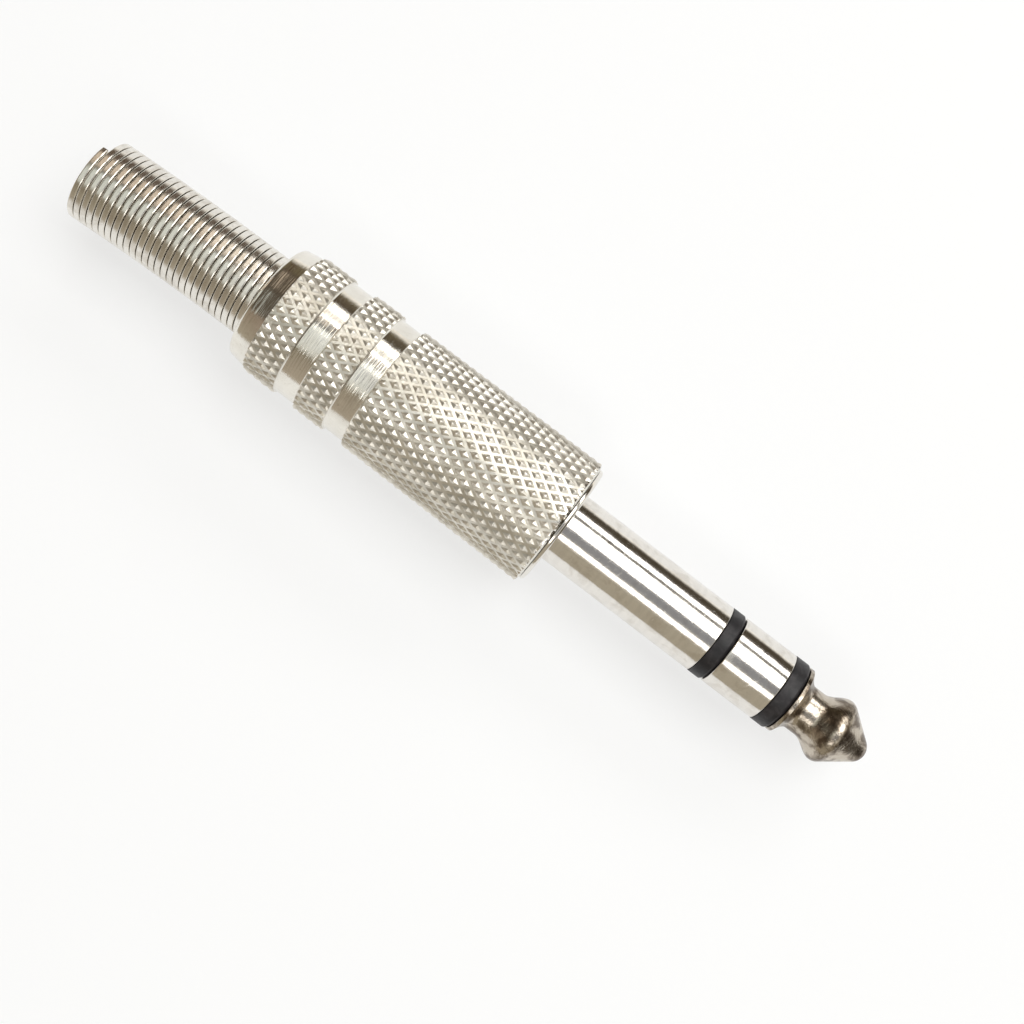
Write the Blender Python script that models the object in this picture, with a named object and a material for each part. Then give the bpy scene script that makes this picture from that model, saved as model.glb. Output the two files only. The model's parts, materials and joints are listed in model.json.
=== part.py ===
"""Stereo jack plug, 6.35 mm, with a knurled screw-on shell and a spring strain relief.

The plug lies along X with its tip towards +X, resting on the knurl at Z = 0, and the origin is
halfway along it. Stations are distances along the axis from the shoulder, where the shank meets
the flange, and are positive towards the tip.
"""

import math

import bmesh
import bpy
from mathutils import Vector

MM = 0.001
AXIS = Vector((1.0, 0.0, 0.0))
CENTRE = Vector((0.0, 0.0, 0.0))

# Faces that meet keep SEAT_GAP, close sliding fits keep FIT_CLEARANCE all round
SEAT_GAP = 0.03 * MM
FIT_CLEARANCE = 0.05 * MM
SAME_PLACE = 0.001 * MM
SAME_BEARING = 0.0001
BEARING_LEAD = 0.01

# Sides of the turned pieces
TURNED_SIDES = 24
TIP_SIDES = 20
CORE_SIDES = 12
LUG_SIDES = 16
ROUND_STEPS = 2
SHARP_ANGLE = math.radians(32)

# Contacts in front of the shoulder
SHANK_RADIUS = 3.175 * MM
SLEEVE_LENGTH = 15.2 * MM
RING_INSULATOR_LENGTH = 1.35 * MM
RING_LENGTH = 5.15 * MM
TIP_INSULATOR_LENGTH = 1.5 * MM
INSULATOR_PROUD = 0.02 * MM

# Tip, measured from its base
TIP_LENGTH = 7.7 * MM
TIP_COLLAR_RADIUS = 3.1 * MM
TIP_COLLAR_LENGTH = 0.35 * MM
TIP_NECK_RADIUS = 2.08 * MM
TIP_NECK_START = 1.25 * MM
TIP_NECK_END = 2.2 * MM
TIP_BULB_STATION = 4.3 * MM
TIP_BULB_RADIUS = 2.99 * MM
TIP_BULB_ROUND = 1.0 * MM
TIP_NOSE_ROUND = 1.3 * MM
TIP_NOSE_FLAT = 0.3 * MM

# Rod and tubes that run through the body, from the axis outwards
ROD_RADIUS = 0.9 * MM
ROD_TUBE_WALL = 0.35 * MM
RING_TUBE_WALL = 0.45 * MM
RING_SLEEVE_WALL = 0.35 * MM

# Flange and threaded boss
FLANGE_THICKNESS = 0.42 * MM
FLANGE_RADIUS = 5.55 * MM
FLANGE_FACE_RADIUS = 4.8 * MM
BOSS_LENGTH = 5.0 * MM
BOSS_RADIUS = 4.6 * MM
BOSS_CHAMFER = 0.3 * MM

# Terminals behind the boss
TAG_THICKNESS = 0.5 * MM
TAG_STEP_ANGLE = math.radians(22.5)
TAG_STRIP_STEPS = 1
TAG_CRADLE_STEPS = 3
TAG_FINGER_STEPS = 5
TAG_STRIP_LENGTH = 11.5 * MM
TAG_FINGER_LENGTH = 2.6 * MM
TAG_FINGER_SPACING = 0.6 * MM
WASHER_RADIUS = 3.2 * MM
RING_WASHER_THICKNESS = 1.0 * MM
TIP_WASHER_THICKNESS = 1.0 * MM
LUG_RADIUS = 2.6 * MM
LUG_THICKNESS = 0.4 * MM
LUG_TAB_REACH = 3.6 * MM
RING_LUG_TAB_LENGTH = 6.0 * MM
TIP_LUG_TAB_LENGTH = 5.0 * MM
RING_RIVET_RADIUS = 2.3 * MM
RING_RIVET_LENGTH = 0.3 * MM
ROD_RIVET_RADIUS = 1.5 * MM
ROD_RIVET_LENGTH = 0.7 * MM

# Shell
SHELL_SEAT = 0.06 * MM
SHELL_RUNNING_CLEARANCE = 0.1 * MM
KNURL_FRONT_RADIUS = 5.98 * MM
KNURL_REAR_RADIUS = 5.73 * MM
KNURL_DEPTH = 0.25 * MM
KNURL_COUNT = 40
KNURL_PITCH = 1.6 * MM
FRONT_CHAMFER = 0.15 * MM
FRONT_KNURL_LENGTH = 17.85 * MM
GROOVE_LENGTH = 2.08 * MM
MIDDLE_KNURL_LENGTH = 2.85 * MM
REAR_KNURL_LENGTH = 3.1 * MM
REAR_BAND_LENGTH = 1.9 * MM
GROOVE_RADIUS = 5.48 * MM
REAR_BAND_RADIUS = 5.55 * MM
REAR_EDGE_RADIUS = 5.3 * MM
REAR_ROUND = 0.45 * MM
REAR_LIP_THICKNESS = 0.9 * MM

# Liner inside the shell
LINER_WALL = 0.35 * MM
LINER_TAG_CLEARANCE = 0.1 * MM
LINER_FRONT_GAP = 0.5 * MM
LINER_REAR_GAP = 0.4 * MM

# Spring strain relief, a right-hand coil of flat wire
SPRING_RADIUS = 3.8 * MM
SPRING_WIRE_HEIGHT = 0.6 * MM
SPRING_WIRE_WIDTH = 0.55 * MM
SPRING_TURN_GAP = 0.05 * MM
SPRING_SHELL_CLEARANCE = 0.2 * MM
SPRING_VISIBLE_LENGTH = 17.4 * MM
SPRING_FLARE_TURNS = 0.75
SPRING_HELD_TURNS = 0.5
SPRING_TURN_STEPS = 12
SPRING_END_ANGLE = math.radians(52.5)

# Stations of the contacts
RING_INSULATOR_BACK = SLEEVE_LENGTH + SEAT_GAP
RING_BACK = RING_INSULATOR_BACK + RING_INSULATOR_LENGTH
RING_FRONT = RING_BACK + RING_LENGTH
TIP_BACK = RING_FRONT + TIP_INSULATOR_LENGTH

# Radii through the core, each fitting over the one before
ROD_TUBE_BORE = ROD_RADIUS + FIT_CLEARANCE
ROD_TUBE_RADIUS = ROD_TUBE_BORE + ROD_TUBE_WALL
RING_BORE = ROD_TUBE_RADIUS + FIT_CLEARANCE
RING_TUBE_RADIUS = RING_BORE + RING_TUBE_WALL
RING_SLEEVE_BORE = RING_TUBE_RADIUS + FIT_CLEARANCE
RING_SLEEVE_RADIUS = RING_SLEEVE_BORE + RING_SLEEVE_WALL
BODY_BORE = RING_SLEEVE_RADIUS + FIT_CLEARANCE

# Stations of the terminals, each behind the one before
BOSS_BACK = -FLANGE_THICKNESS - BOSS_LENGTH
TAG_FRONT = BOSS_BACK - SEAT_GAP
RING_WASHER_FRONT = TAG_FRONT - TAG_THICKNESS - SEAT_GAP
RING_LUG_FRONT = RING_WASHER_FRONT - RING_WASHER_THICKNESS - SEAT_GAP
RING_RIVET_FRONT = RING_LUG_FRONT - LUG_THICKNESS - SEAT_GAP
TIP_WASHER_FRONT = RING_RIVET_FRONT - RING_RIVET_LENGTH - SEAT_GAP
TIP_LUG_FRONT = TIP_WASHER_FRONT - TIP_WASHER_THICKNESS - SEAT_GAP
ROD_RIVET_FRONT = TIP_LUG_FRONT - LUG_THICKNESS - SEAT_GAP

# Stations of the shell
SHELL_FRONT = -FLANGE_THICKNESS - SHELL_SEAT
FRONT_KNURL_START = SHELL_FRONT - FRONT_CHAMFER
FRONT_KNURL_END = FRONT_KNURL_START - FRONT_KNURL_LENGTH
MIDDLE_KNURL_START = FRONT_KNURL_END - GROOVE_LENGTH
MIDDLE_KNURL_END = MIDDLE_KNURL_START - MIDDLE_KNURL_LENGTH
REAR_KNURL_START = MIDDLE_KNURL_END - GROOVE_LENGTH
REAR_KNURL_END = REAR_KNURL_START - REAR_KNURL_LENGTH
SHELL_BACK = REAR_KNURL_END - REAR_BAND_LENGTH
LIP_FRONT = SHELL_BACK + REAR_LIP_THICKNESS

# Radii inside the shell
SHELL_BORE = BOSS_RADIUS + SHELL_RUNNING_CLEARANCE
LINER_RADIUS = SHELL_BORE - SHELL_RUNNING_CLEARANCE
LINER_BORE = LINER_RADIUS - LINER_WALL
TAG_OUTER_RADIUS = LINER_BORE - LINER_TAG_CLEARANCE
TAG_INNER_RADIUS = TAG_OUTER_RADIUS - TAG_THICKNESS
SPRING_HOLE = SPRING_RADIUS + SPRING_SHELL_CLEARANCE
SPRING_HELD_RADIUS = SHELL_BORE - SPRING_SHELL_CLEARANCE

# The coil, from its rear end forwards
SPRING_PITCH = SPRING_WIRE_WIDTH + SPRING_TURN_GAP
SPRING_BACK = SHELL_BACK - SPRING_VISIBLE_LENGTH
SPRING_FLARE_START = LIP_FRONT + SPRING_WIRE_WIDTH / 2 + SPRING_TURN_GAP
SPRING_STRAIGHT_TURNS = (SPRING_FLARE_START - SPRING_BACK - SPRING_WIRE_WIDTH / 2) / SPRING_PITCH
SPRING_TURNS = SPRING_STRAIGHT_TURNS + SPRING_FLARE_TURNS + SPRING_HELD_TURNS
SPRING_FRONT = SPRING_BACK + SPRING_WIRE_WIDTH + SPRING_TURNS * SPRING_PITCH

# Liner between the boss and the spring
LINER_FRONT = BOSS_BACK - LINER_FRONT_GAP
LINER_BACK = SPRING_FRONT + LINER_REAR_GAP

# Where the plug lies: on two rows of knurl points, with the origin at mid-length
KNURL_SIDES = 2 * KNURL_COUNT
KNURL_TURN = math.pi / KNURL_SIDES
AXIS_HEIGHT = KNURL_FRONT_RADIUS * math.cos(KNURL_TURN)
SHOULDER_X = -(TIP_BACK + TIP_LENGTH + SPRING_BACK) / 2

NICKEL = (0.74, 0.70, 0.64, 1.0)
TIP_NICKEL = (0.50, 0.43, 0.35, 1.0)
SPRING_NICKEL = (0.70, 0.67, 0.62, 1.0)
BLACK_PLASTIC = (0.02, 0.018, 0.018, 1.0)
BROWN_BOARD = (0.25, 0.12, 0.05, 1.0)
WHITE_PLASTIC = (0.80, 0.79, 0.76, 1.0)
TINNED_BRASS = (0.72, 0.66, 0.52, 1.0)


def clear_scene():
    for obj in list(bpy.data.objects):
        bpy.data.objects.remove(obj, do_unlink=True)


def finish(name, color, roughness, metallic):
    """A plain material for one piece."""
    material = bpy.data.materials.new(name + "_finish")
    material.use_nodes = True
    shader = material.node_tree.nodes["Principled BSDF"]
    shader.inputs["Base Color"].default_value = color
    shader.inputs["Roughness"].default_value = roughness
    shader.inputs["Metallic"].default_value = metallic
    return material


def axis_empty(name, parent=None):
    """An empty on the plug's axis at the shoulder, which carries a group of pieces."""
    empty = bpy.data.objects.new(name, None)
    empty.empty_display_size = SHANK_RADIUS
    bpy.context.collection.objects.link(empty)
    if parent:
        empty.parent = parent
    else:
        empty.location = (SHOULDER_X, 0.0, AXIS_HEIGHT)
    return empty


def piece(name, bm, parent, color, roughness=0.3, metallic=1.0):
    """One finished piece from a closed bmesh, on its carrier."""
    bmesh.ops.recalc_face_normals(bm, faces=bm.faces)
    mesh = bpy.data.meshes.new(name)
    bm.to_mesh(mesh)
    bm.free()
    mesh.shade_smooth()
    mesh.set_sharp_from_angle(angle=SHARP_ANGLE)
    mesh.materials.append(finish(name, color, roughness, metallic))
    obj = bpy.data.objects.new(name, mesh)
    bpy.context.collection.objects.link(obj)
    obj.parent = parent
    return obj


def spun(bm, profile, sides, turn=0.0):
    """Spin an open profile of (station, radius) points round the axis."""
    start = [bm.verts.new((x, -r * math.sin(turn), r * math.cos(turn))) for x, r in profile]
    edges = [bm.edges.new(pair) for pair in zip(start, start[1:])]
    bmesh.ops.spin(
        bm,
        geom=start + edges,
        axis=AXIS,
        cent=CENTRE,
        angle=math.tau,
        steps=sides,
        use_merge=True,
    )


def bearing(vert):
    """A corner's angle round the axis, measured from just short of +Y so that none falls on zero."""
    return (math.atan2(vert.co.z, vert.co.y) + BEARING_LEAD) % math.tau


def ring(bm, point):
    """The corners of the open ring at a (station, radius) point of a profile, in order."""
    station, radius = point
    corners = {
        vert
        for vert in bm.verts
        if (vert.is_boundary or vert.is_wire)
        and abs(vert.co.x - station) < SAME_PLACE
        and abs(vert.co.yz.length - radius) < SAME_PLACE
    }
    return sorted(corners, key=bearing)


def bridge(bm, first, second):
    """Join the open rings at two profile points, also where they differ in sides."""
    near = ring(bm, first)
    far = ring(bm, second)
    near_at = [bearing(vert) for vert in near] + [bearing(near[0]) + math.tau]
    far_at = [bearing(vert) for vert in far] + [bearing(far[0]) + math.tau]
    near += near[:1]
    far += far[:1]
    i = j = 0
    while i < len(near) - 1 or j < len(far) - 1:
        corners = [near[i], far[j]]
        lead = (near_at[i + 1] if i < len(near) - 1 else math.inf) - (
            far_at[j + 1] if j < len(far) - 1 else math.inf
        )
        if lead > -SAME_BEARING:
            j += 1
            corners.append(far[j])
        if lead < SAME_BEARING:
            i += 1
            corners.append(near[i])
        bm.faces.new(corners)


def cap(bm, point):
    """Fill the open ring at a profile point with one face."""
    bm.faces.new(ring(bm, point))


def sleeve(outer, inner, outer_sides=TURNED_SIDES, inner_sides=CORE_SIDES):
    """A turned piece with a bore: both profiles run from front to back."""
    bm = bmesh.new()
    spun(bm, outer, outer_sides)
    spun(bm, inner, inner_sides)
    bridge(bm, outer[0], inner[0])
    bridge(bm, outer[-1], inner[-1])
    return bm


def plain_sleeve(front, back, radius, bore, sides=TURNED_SIDES, bore_sides=CORE_SIDES):
    """A straight tube or a flat washer."""
    return sleeve([(front, radius), (back, radius)], [(front, bore), (back, bore)], sides, bore_sides)


def arc(station, radius, reach, start, end, steps):
    """Profile points on a round of radius reach, with angles from the axis direction."""
    points = []
    for step in range(steps + 1):
        angle = start + (end - start) * step / steps
        points.append((station + reach * math.cos(angle), radius + reach * math.sin(angle)))
    return points


def tip_profile():
    """The tip from its nose back to its base: nose, cone, bulb, neck and collar."""
    nose = Vector((TIP_LENGTH - TIP_NOSE_ROUND, 0.0))
    bulb = Vector((TIP_BULB_STATION, TIP_BULB_RADIUS - TIP_BULB_ROUND))
    to_nose = nose - bulb
    lean = math.acos((TIP_BULB_ROUND - TIP_NOSE_ROUND) / to_nose.length)
    cone_normal = math.atan2(to_nose.y, to_nose.x) + lean
    nose_start = math.asin(TIP_NOSE_FLAT / TIP_NOSE_ROUND)
    points = arc(nose.x, nose.y, TIP_NOSE_ROUND, nose_start, cone_normal, ROUND_STEPS)
    points += arc(bulb.x, bulb.y, TIP_BULB_ROUND, cone_normal, math.pi / 2, ROUND_STEPS)
    swell_steps = 2 * ROUND_STEPS
    for step in range(1, swell_steps + 1):
        share = step / swell_steps
        ease = share * share * (3 - 2 * share)
        station = TIP_BULB_STATION + (TIP_NECK_END - TIP_BULB_STATION) * share
        points.append((station, TIP_BULB_RADIUS + (TIP_NECK_RADIUS - TIP_BULB_RADIUS) * ease))
    fillet_steps = ROUND_STEPS
    for step in range(fillet_steps + 1):
        share = step / fillet_steps
        rise = 1 - math.cos(share * math.pi / 2)
        station = TIP_NECK_START + (TIP_COLLAR_LENGTH - TIP_NECK_START) * share
        points.append((station, TIP_NECK_RADIUS + (TIP_COLLAR_RADIUS - TIP_NECK_RADIUS) * rise))
    points.append((0.0, TIP_COLLAR_RADIUS))
    return [(TIP_BACK + station, radius) for station, radius in points]


def tip_contact(carrier):
    """The tip and its rod in one piece, riveted over at the back."""
    head = tip_profile()
    neck = (TIP_BACK, ROD_RADIUS)
    rivet_back = ROD_RIVET_FRONT - ROD_RIVET_LENGTH
    rivet_edge = rivet_back + ROD_RIVET_LENGTH / 2
    rod = [
        neck,
        (ROD_RIVET_FRONT, ROD_RADIUS),
        (ROD_RIVET_FRONT, ROD_RIVET_RADIUS),
        (rivet_edge, ROD_RIVET_RADIUS),
        (rivet_back, ROD_RADIUS),
    ]
    bm = bmesh.new()
    spun(bm, head, TIP_SIDES)
    spun(bm, rod, CORE_SIDES)
    bridge(bm, head[-1], neck)
    cap(bm, head[0])
    cap(bm, rod[-1])
    piece("tip_contact", bm, carrier, TIP_NICKEL, roughness=0.25)


def ring_contact(carrier):
    """The ring and its tube in one piece, flared over the ring lug at the back."""
    rivet_back = RING_RIVET_FRONT - RING_RIVET_LENGTH
    band = [(RING_FRONT - SEAT_GAP, SHANK_RADIUS), (RING_BACK + SEAT_GAP, SHANK_RADIUS)]
    tube = [
        (RING_BACK + SEAT_GAP, RING_TUBE_RADIUS),
        (RING_RIVET_FRONT, RING_TUBE_RADIUS),
        (RING_RIVET_FRONT, RING_RIVET_RADIUS),
        (rivet_back, RING_RIVET_RADIUS),
    ]
    bore = [(RING_FRONT - SEAT_GAP, RING_BORE), (rivet_back, RING_BORE)]
    bm = bmesh.new()
    spun(bm, band, TURNED_SIDES)
    spun(bm, tube, CORE_SIDES)
    spun(bm, bore, CORE_SIDES)
    bridge(bm, band[0], bore[0])
    bridge(bm, band[-1], tube[0])
    bridge(bm, tube[-1], bore[-1])
    piece("ring_contact", bm, carrier, NICKEL, roughness=0.15)


def insulators(carrier):
    """The two black rings and the tubes that run back through the core."""
    ring_radius = SHANK_RADIUS + INSULATOR_PROUD
    tip_ring = plain_sleeve(TIP_BACK - SEAT_GAP, RING_FRONT, ring_radius, RING_BORE)
    piece("tip_insulator", tip_ring, carrier, BLACK_PLASTIC, 0.5, 0.0)
    sleeve_ring = plain_sleeve(RING_BACK, RING_INSULATOR_BACK, ring_radius, BODY_BORE)
    piece("ring_insulator", sleeve_ring, carrier, BLACK_PLASTIC, 0.5, 0.0)
    rod_tube = plain_sleeve(
        TIP_BACK - SEAT_GAP, TIP_WASHER_FRONT + SEAT_GAP, ROD_TUBE_RADIUS, ROD_TUBE_BORE, CORE_SIDES
    )
    piece("rod_tube", rod_tube, carrier, WHITE_PLASTIC, 0.5, 0.0)
    ring_sleeve = plain_sleeve(
        RING_BACK, RING_WASHER_FRONT + SEAT_GAP, RING_SLEEVE_RADIUS, RING_SLEEVE_BORE, CORE_SIDES
    )
    piece("ring_tube_sleeve", ring_sleeve, carrier, WHITE_PLASTIC, 0.5, 0.0)


def plug_body(carrier):
    """Shank, flange and boss, turned as one piece."""
    outer = [
        (SLEEVE_LENGTH, SHANK_RADIUS),
        (0.0, SHANK_RADIUS),
        (0.0, FLANGE_FACE_RADIUS),
        (-FLANGE_THICKNESS, FLANGE_RADIUS),
        (-FLANGE_THICKNESS, BOSS_RADIUS),
        (BOSS_BACK + BOSS_CHAMFER, BOSS_RADIUS),
        (BOSS_BACK, BOSS_RADIUS - BOSS_CHAMFER),
    ]
    bore = [(SLEEVE_LENGTH, BODY_BORE), (BOSS_BACK, BODY_BORE)]
    piece("plug_body", sleeve(outer, bore), carrier, NICKEL, roughness=0.12)


def tag_sheet():
    """The tag's strip and clamp: cells of curved sheet round the axis, thickened outwards."""
    strip_front = TAG_FRONT - TAG_THICKNESS / 4
    strip_back = TAG_FRONT - TAG_STRIP_LENGTH
    left_back = strip_back - TAG_FINGER_LENGTH
    right_front = left_back - TAG_FINGER_SPACING
    stations = [strip_front, strip_back, left_back, right_front, right_front - TAG_FINGER_LENGTH]
    spans = [
        (-TAG_STRIP_STEPS, TAG_STRIP_STEPS),
        (-TAG_FINGER_STEPS, TAG_CRADLE_STEPS),
        (-TAG_CRADLE_STEPS, TAG_CRADLE_STEPS),
        (-TAG_CRADLE_STEPS, TAG_FINGER_STEPS),
    ]
    bm = bmesh.new()
    grid = {}

    def corner(row, column):
        if (row, column) not in grid:
            angle = column * TAG_STEP_ANGLE
            place = (
                stations[row],
                TAG_INNER_RADIUS * math.sin(angle),
                -TAG_INNER_RADIUS * math.cos(angle),
            )
            grid[row, column] = bm.verts.new(place)
        return grid[row, column]

    for row, (first, last) in enumerate(spans):
        for column in range(first, last):
            bm.faces.new(
                (
                    corner(row, column),
                    corner(row, column + 1),
                    corner(row + 1, column + 1),
                    corner(row + 1, column),
                )
            )
    grown = bmesh.ops.extrude_face_region(bm, geom=bm.faces[:], use_keep_orig=True)
    for vert in (item for item in grown["geom"] if isinstance(item, bmesh.types.BMVert)):
        vert.co.yz *= TAG_OUTER_RADIUS / TAG_INNER_RADIUS
    return bm


def ground_tag(carrier):
    """Eyelet, strip and cable clamp of the sleeve terminal, one stamping."""
    tag = piece("ground_tag", tag_sheet(), carrier, TINNED_BRASS, roughness=0.3)
    eyelet_radius = (TAG_INNER_RADIUS + TAG_OUTER_RADIUS) / 2
    eyelet = piece(
        "ground_tag_eyelet",
        plain_sleeve(TAG_FRONT, TAG_FRONT - TAG_THICKNESS, eyelet_radius, BODY_BORE, LUG_SIDES),
        carrier,
        TINNED_BRASS,
    )
    eyelet.hide_render = True
    eyelet.display_type = "WIRE"
    joined = tag.modifiers.new("eyelet", "BOOLEAN")
    joined.operation = "UNION"
    joined.solver = "EXACT"
    joined.object = eyelet


def lug(name, carrier, front, bore, side, tab_length):
    """A solder lug: a disc over its contact, with a tab that reaches out and turns back."""
    back = front - LUG_THICKNESS
    bm = plain_sleeve(front, back, LUG_RADIUS, bore, LUG_SIDES)
    bmesh.ops.recalc_face_normals(bm, faces=bm.faces)
    one_side = math.cos(math.tau / LUG_SIDES)
    faces = [face for face in bm.faces if face.normal.y * side > one_side]
    edge_faces = [face for face in faces if face.calc_center_median().yz.length > bore]
    for reach in (LUG_TAB_REACH - LUG_THICKNESS, LUG_TAB_REACH):
        grown = bmesh.ops.extrude_face_region(bm, geom=edge_faces)["geom"]
        for vert in (item for item in grown if isinstance(item, bmesh.types.BMVert)):
            vert.co.y = side * reach
        bmesh.ops.delete(bm, geom=edge_faces, context="FACES")
        edge_faces = [item for item in grown if isinstance(item, bmesh.types.BMFace)]
    bmesh.ops.recalc_face_normals(bm, faces=bm.faces)
    bend = LUG_TAB_REACH - LUG_THICKNESS - SAME_PLACE
    rear_faces = [
        face
        for face in bm.faces
        if face.normal.x < -one_side and all(vert.co.y * side > bend for vert in face.verts)
    ]
    grown = bmesh.ops.extrude_face_region(bm, geom=rear_faces)["geom"]
    moved = [item for item in grown if isinstance(item, bmesh.types.BMVert)]
    bmesh.ops.translate(bm, verts=moved, vec=(-tab_length, 0.0, 0.0))
    bmesh.ops.delete(bm, geom=rear_faces, context="FACES")
    piece(name, bm, carrier, TINNED_BRASS, roughness=0.3)


def terminals(carrier):
    """Everything stacked behind the boss, from front to back."""
    ground_tag(carrier)
    ring_washer = plain_sleeve(
        RING_WASHER_FRONT, RING_WASHER_FRONT - RING_WASHER_THICKNESS, WASHER_RADIUS, RING_SLEEVE_BORE
    )
    piece("ring_lug_washer", ring_washer, carrier, BROWN_BOARD, 0.6, 0.0)
    lug("ring_lug", carrier, RING_LUG_FRONT, RING_SLEEVE_BORE, 1, RING_LUG_TAB_LENGTH)
    tip_washer = plain_sleeve(
        TIP_WASHER_FRONT, TIP_WASHER_FRONT - TIP_WASHER_THICKNESS, WASHER_RADIUS, ROD_TUBE_BORE
    )
    piece("tip_lug_washer", tip_washer, carrier, BROWN_BOARD, 0.6, 0.0)
    lug("tip_lug", carrier, TIP_LUG_FRONT, ROD_TUBE_BORE, -1, TIP_LUG_TAB_LENGTH)


def knurl_radius(station):
    """Radius over the knurl's points, which tapers from front to back."""
    share = (station - FRONT_KNURL_START) / (REAR_KNURL_END - FRONT_KNURL_START)
    return KNURL_FRONT_RADIUS + (KNURL_REAR_RADIUS - KNURL_FRONT_RADIUS) * share


def knurl_band(bm, start, end):
    """A band of diamond points: rings half a pitch apart, with every other corner raised."""
    rows = max(2, round((start - end) / (KNURL_PITCH / 2)))
    step = (end - start) / rows
    stations = [start + step * row for row in range(rows + 1)]
    profile = [(x, knurl_radius(x) - KNURL_DEPTH) for x in stations]
    known = set(bm.verts)
    spun(bm, profile, KNURL_SIDES, KNURL_TURN)
    valleys = []
    for vert in set(bm.verts) - known:
        row = round((vert.co.x - start) / step)
        angle = math.atan2(-vert.co.y, vert.co.z)
        column = round((angle - KNURL_TURN) / math.tau * KNURL_SIDES)
        if (row + column) % 2:
            valleys.append(vert)
        elif 0 < row < rows:
            vert.co.yz *= knurl_radius(vert.co.x) / (knurl_radius(vert.co.x) - KNURL_DEPTH)
    bmesh.ops.connect_verts(bm, verts=valleys)
    return profile[0], profile[-1]


def shell(carrier):
    """Knurled barrel with two grooves and a plain rear band, open at both ends."""
    bm = bmesh.new()
    front_edge = (SHELL_FRONT, KNURL_FRONT_RADIUS - KNURL_DEPTH - FRONT_CHAMFER)
    bore = [(SHELL_FRONT, SHELL_BORE), (LIP_FRONT, SHELL_BORE)]
    bore += [(LIP_FRONT, SPRING_HOLE), (SHELL_BACK, SPRING_HOLE)]
    band = [(REAR_KNURL_END, REAR_BAND_RADIUS)]
    corner = (SHELL_BACK + REAR_ROUND, REAR_EDGE_RADIUS - REAR_ROUND)
    band += arc(*corner, REAR_ROUND, math.pi / 2, math.pi, ROUND_STEPS)
    knurls = [
        knurl_band(bm, FRONT_KNURL_START, FRONT_KNURL_END),
        knurl_band(bm, MIDDLE_KNURL_START, MIDDLE_KNURL_END),
        knurl_band(bm, REAR_KNURL_START, REAR_KNURL_END),
    ]
    spun(bm, bore, TURNED_SIDES)
    spun(bm, band, KNURL_COUNT, KNURL_TURN)
    for before, after in zip(knurls, knurls[1:]):
        floor = [(before[1][0], GROOVE_RADIUS), (after[0][0], GROOVE_RADIUS)]
        spun(bm, floor, KNURL_COUNT, KNURL_TURN)
        bridge(bm, before[1], floor[0])
        bridge(bm, floor[1], after[0])
    spun(bm, [front_edge], KNURL_COUNT, KNURL_TURN)
    bridge(bm, front_edge, knurls[0][0])
    bridge(bm, front_edge, bore[0])
    bridge(bm, knurls[-1][1], band[0])
    bridge(bm, band[-1], bore[-1])
    piece("shell", bm, carrier, NICKEL, roughness=0.22)


def shell_liner(carrier):
    """The insulating tube round the terminals."""
    bm = plain_sleeve(LINER_FRONT, LINER_BACK, LINER_RADIUS, LINER_BORE, TURNED_SIDES, TURNED_SIDES)
    piece("shell_liner", bm, carrier, WHITE_PLASTIC, 0.4, 0.0)


def spring_radius(turns):
    """Outer radius of the coil after so many turns from its rear end."""
    share = (turns - SPRING_STRAIGHT_TURNS) / SPRING_FLARE_TURNS
    return SPRING_RADIUS + (SPRING_HELD_RADIUS - SPRING_RADIUS) * min(max(share, 0.0), 1.0)


def strain_relief_spring(carrier):
    """A right-hand coil of flat wire, flared inside the shell's lip so that it stays in."""
    steps = math.ceil(SPRING_TURNS * SPRING_TURN_STEPS)
    bm = bmesh.new()
    sections = []
    for step in range(steps + 1):
        turns = SPRING_TURNS * step / steps
        angle = SPRING_END_ANGLE + math.tau * turns
        outer = spring_radius(turns)
        back = SPRING_BACK + SPRING_PITCH * turns
        corners = [(back, outer), (back + SPRING_WIRE_WIDTH, outer)]
        corners += [(x, outer - SPRING_WIRE_HEIGHT) for x, _ in reversed(corners)]
        sections.append(
            [bm.verts.new((x, r * math.cos(angle), r * math.sin(angle))) for x, r in corners]
        )
    for near, far in zip(sections, sections[1:]):
        for side in range(4):
            after = (side + 1) % 4
            bm.faces.new((near[side], near[after], far[after], far[side]))
    bm.faces.new(sections[0])
    bm.faces.new(reversed(sections[-1]))
    piece("strain_relief_spring", bm, carrier, SPRING_NICKEL, roughness=0.2)


def main():
    clear_scene()
    plug_axis = axis_empty("plug_axis")
    shell_axis = axis_empty("shell_axis", plug_axis)
    tip_contact(plug_axis)
    ring_contact(plug_axis)
    insulators(plug_axis)
    plug_body(plug_axis)
    terminals(plug_axis)
    shell_liner(shell_axis)
    strain_relief_spring(shell_axis)
    shell(shell_axis)


main()
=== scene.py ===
"""The stereo jack plug's finished surfaces, its stage and its camera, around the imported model.

The plug lies along X with its tip towards +X. Stations are distances along its axis from the
shoulder, positive towards the tip, and radii are measured from the axis, both in metres.
"""

import json
import math

import bmesh
import bpy
from mathutils import Matrix, Vector, noise


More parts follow.
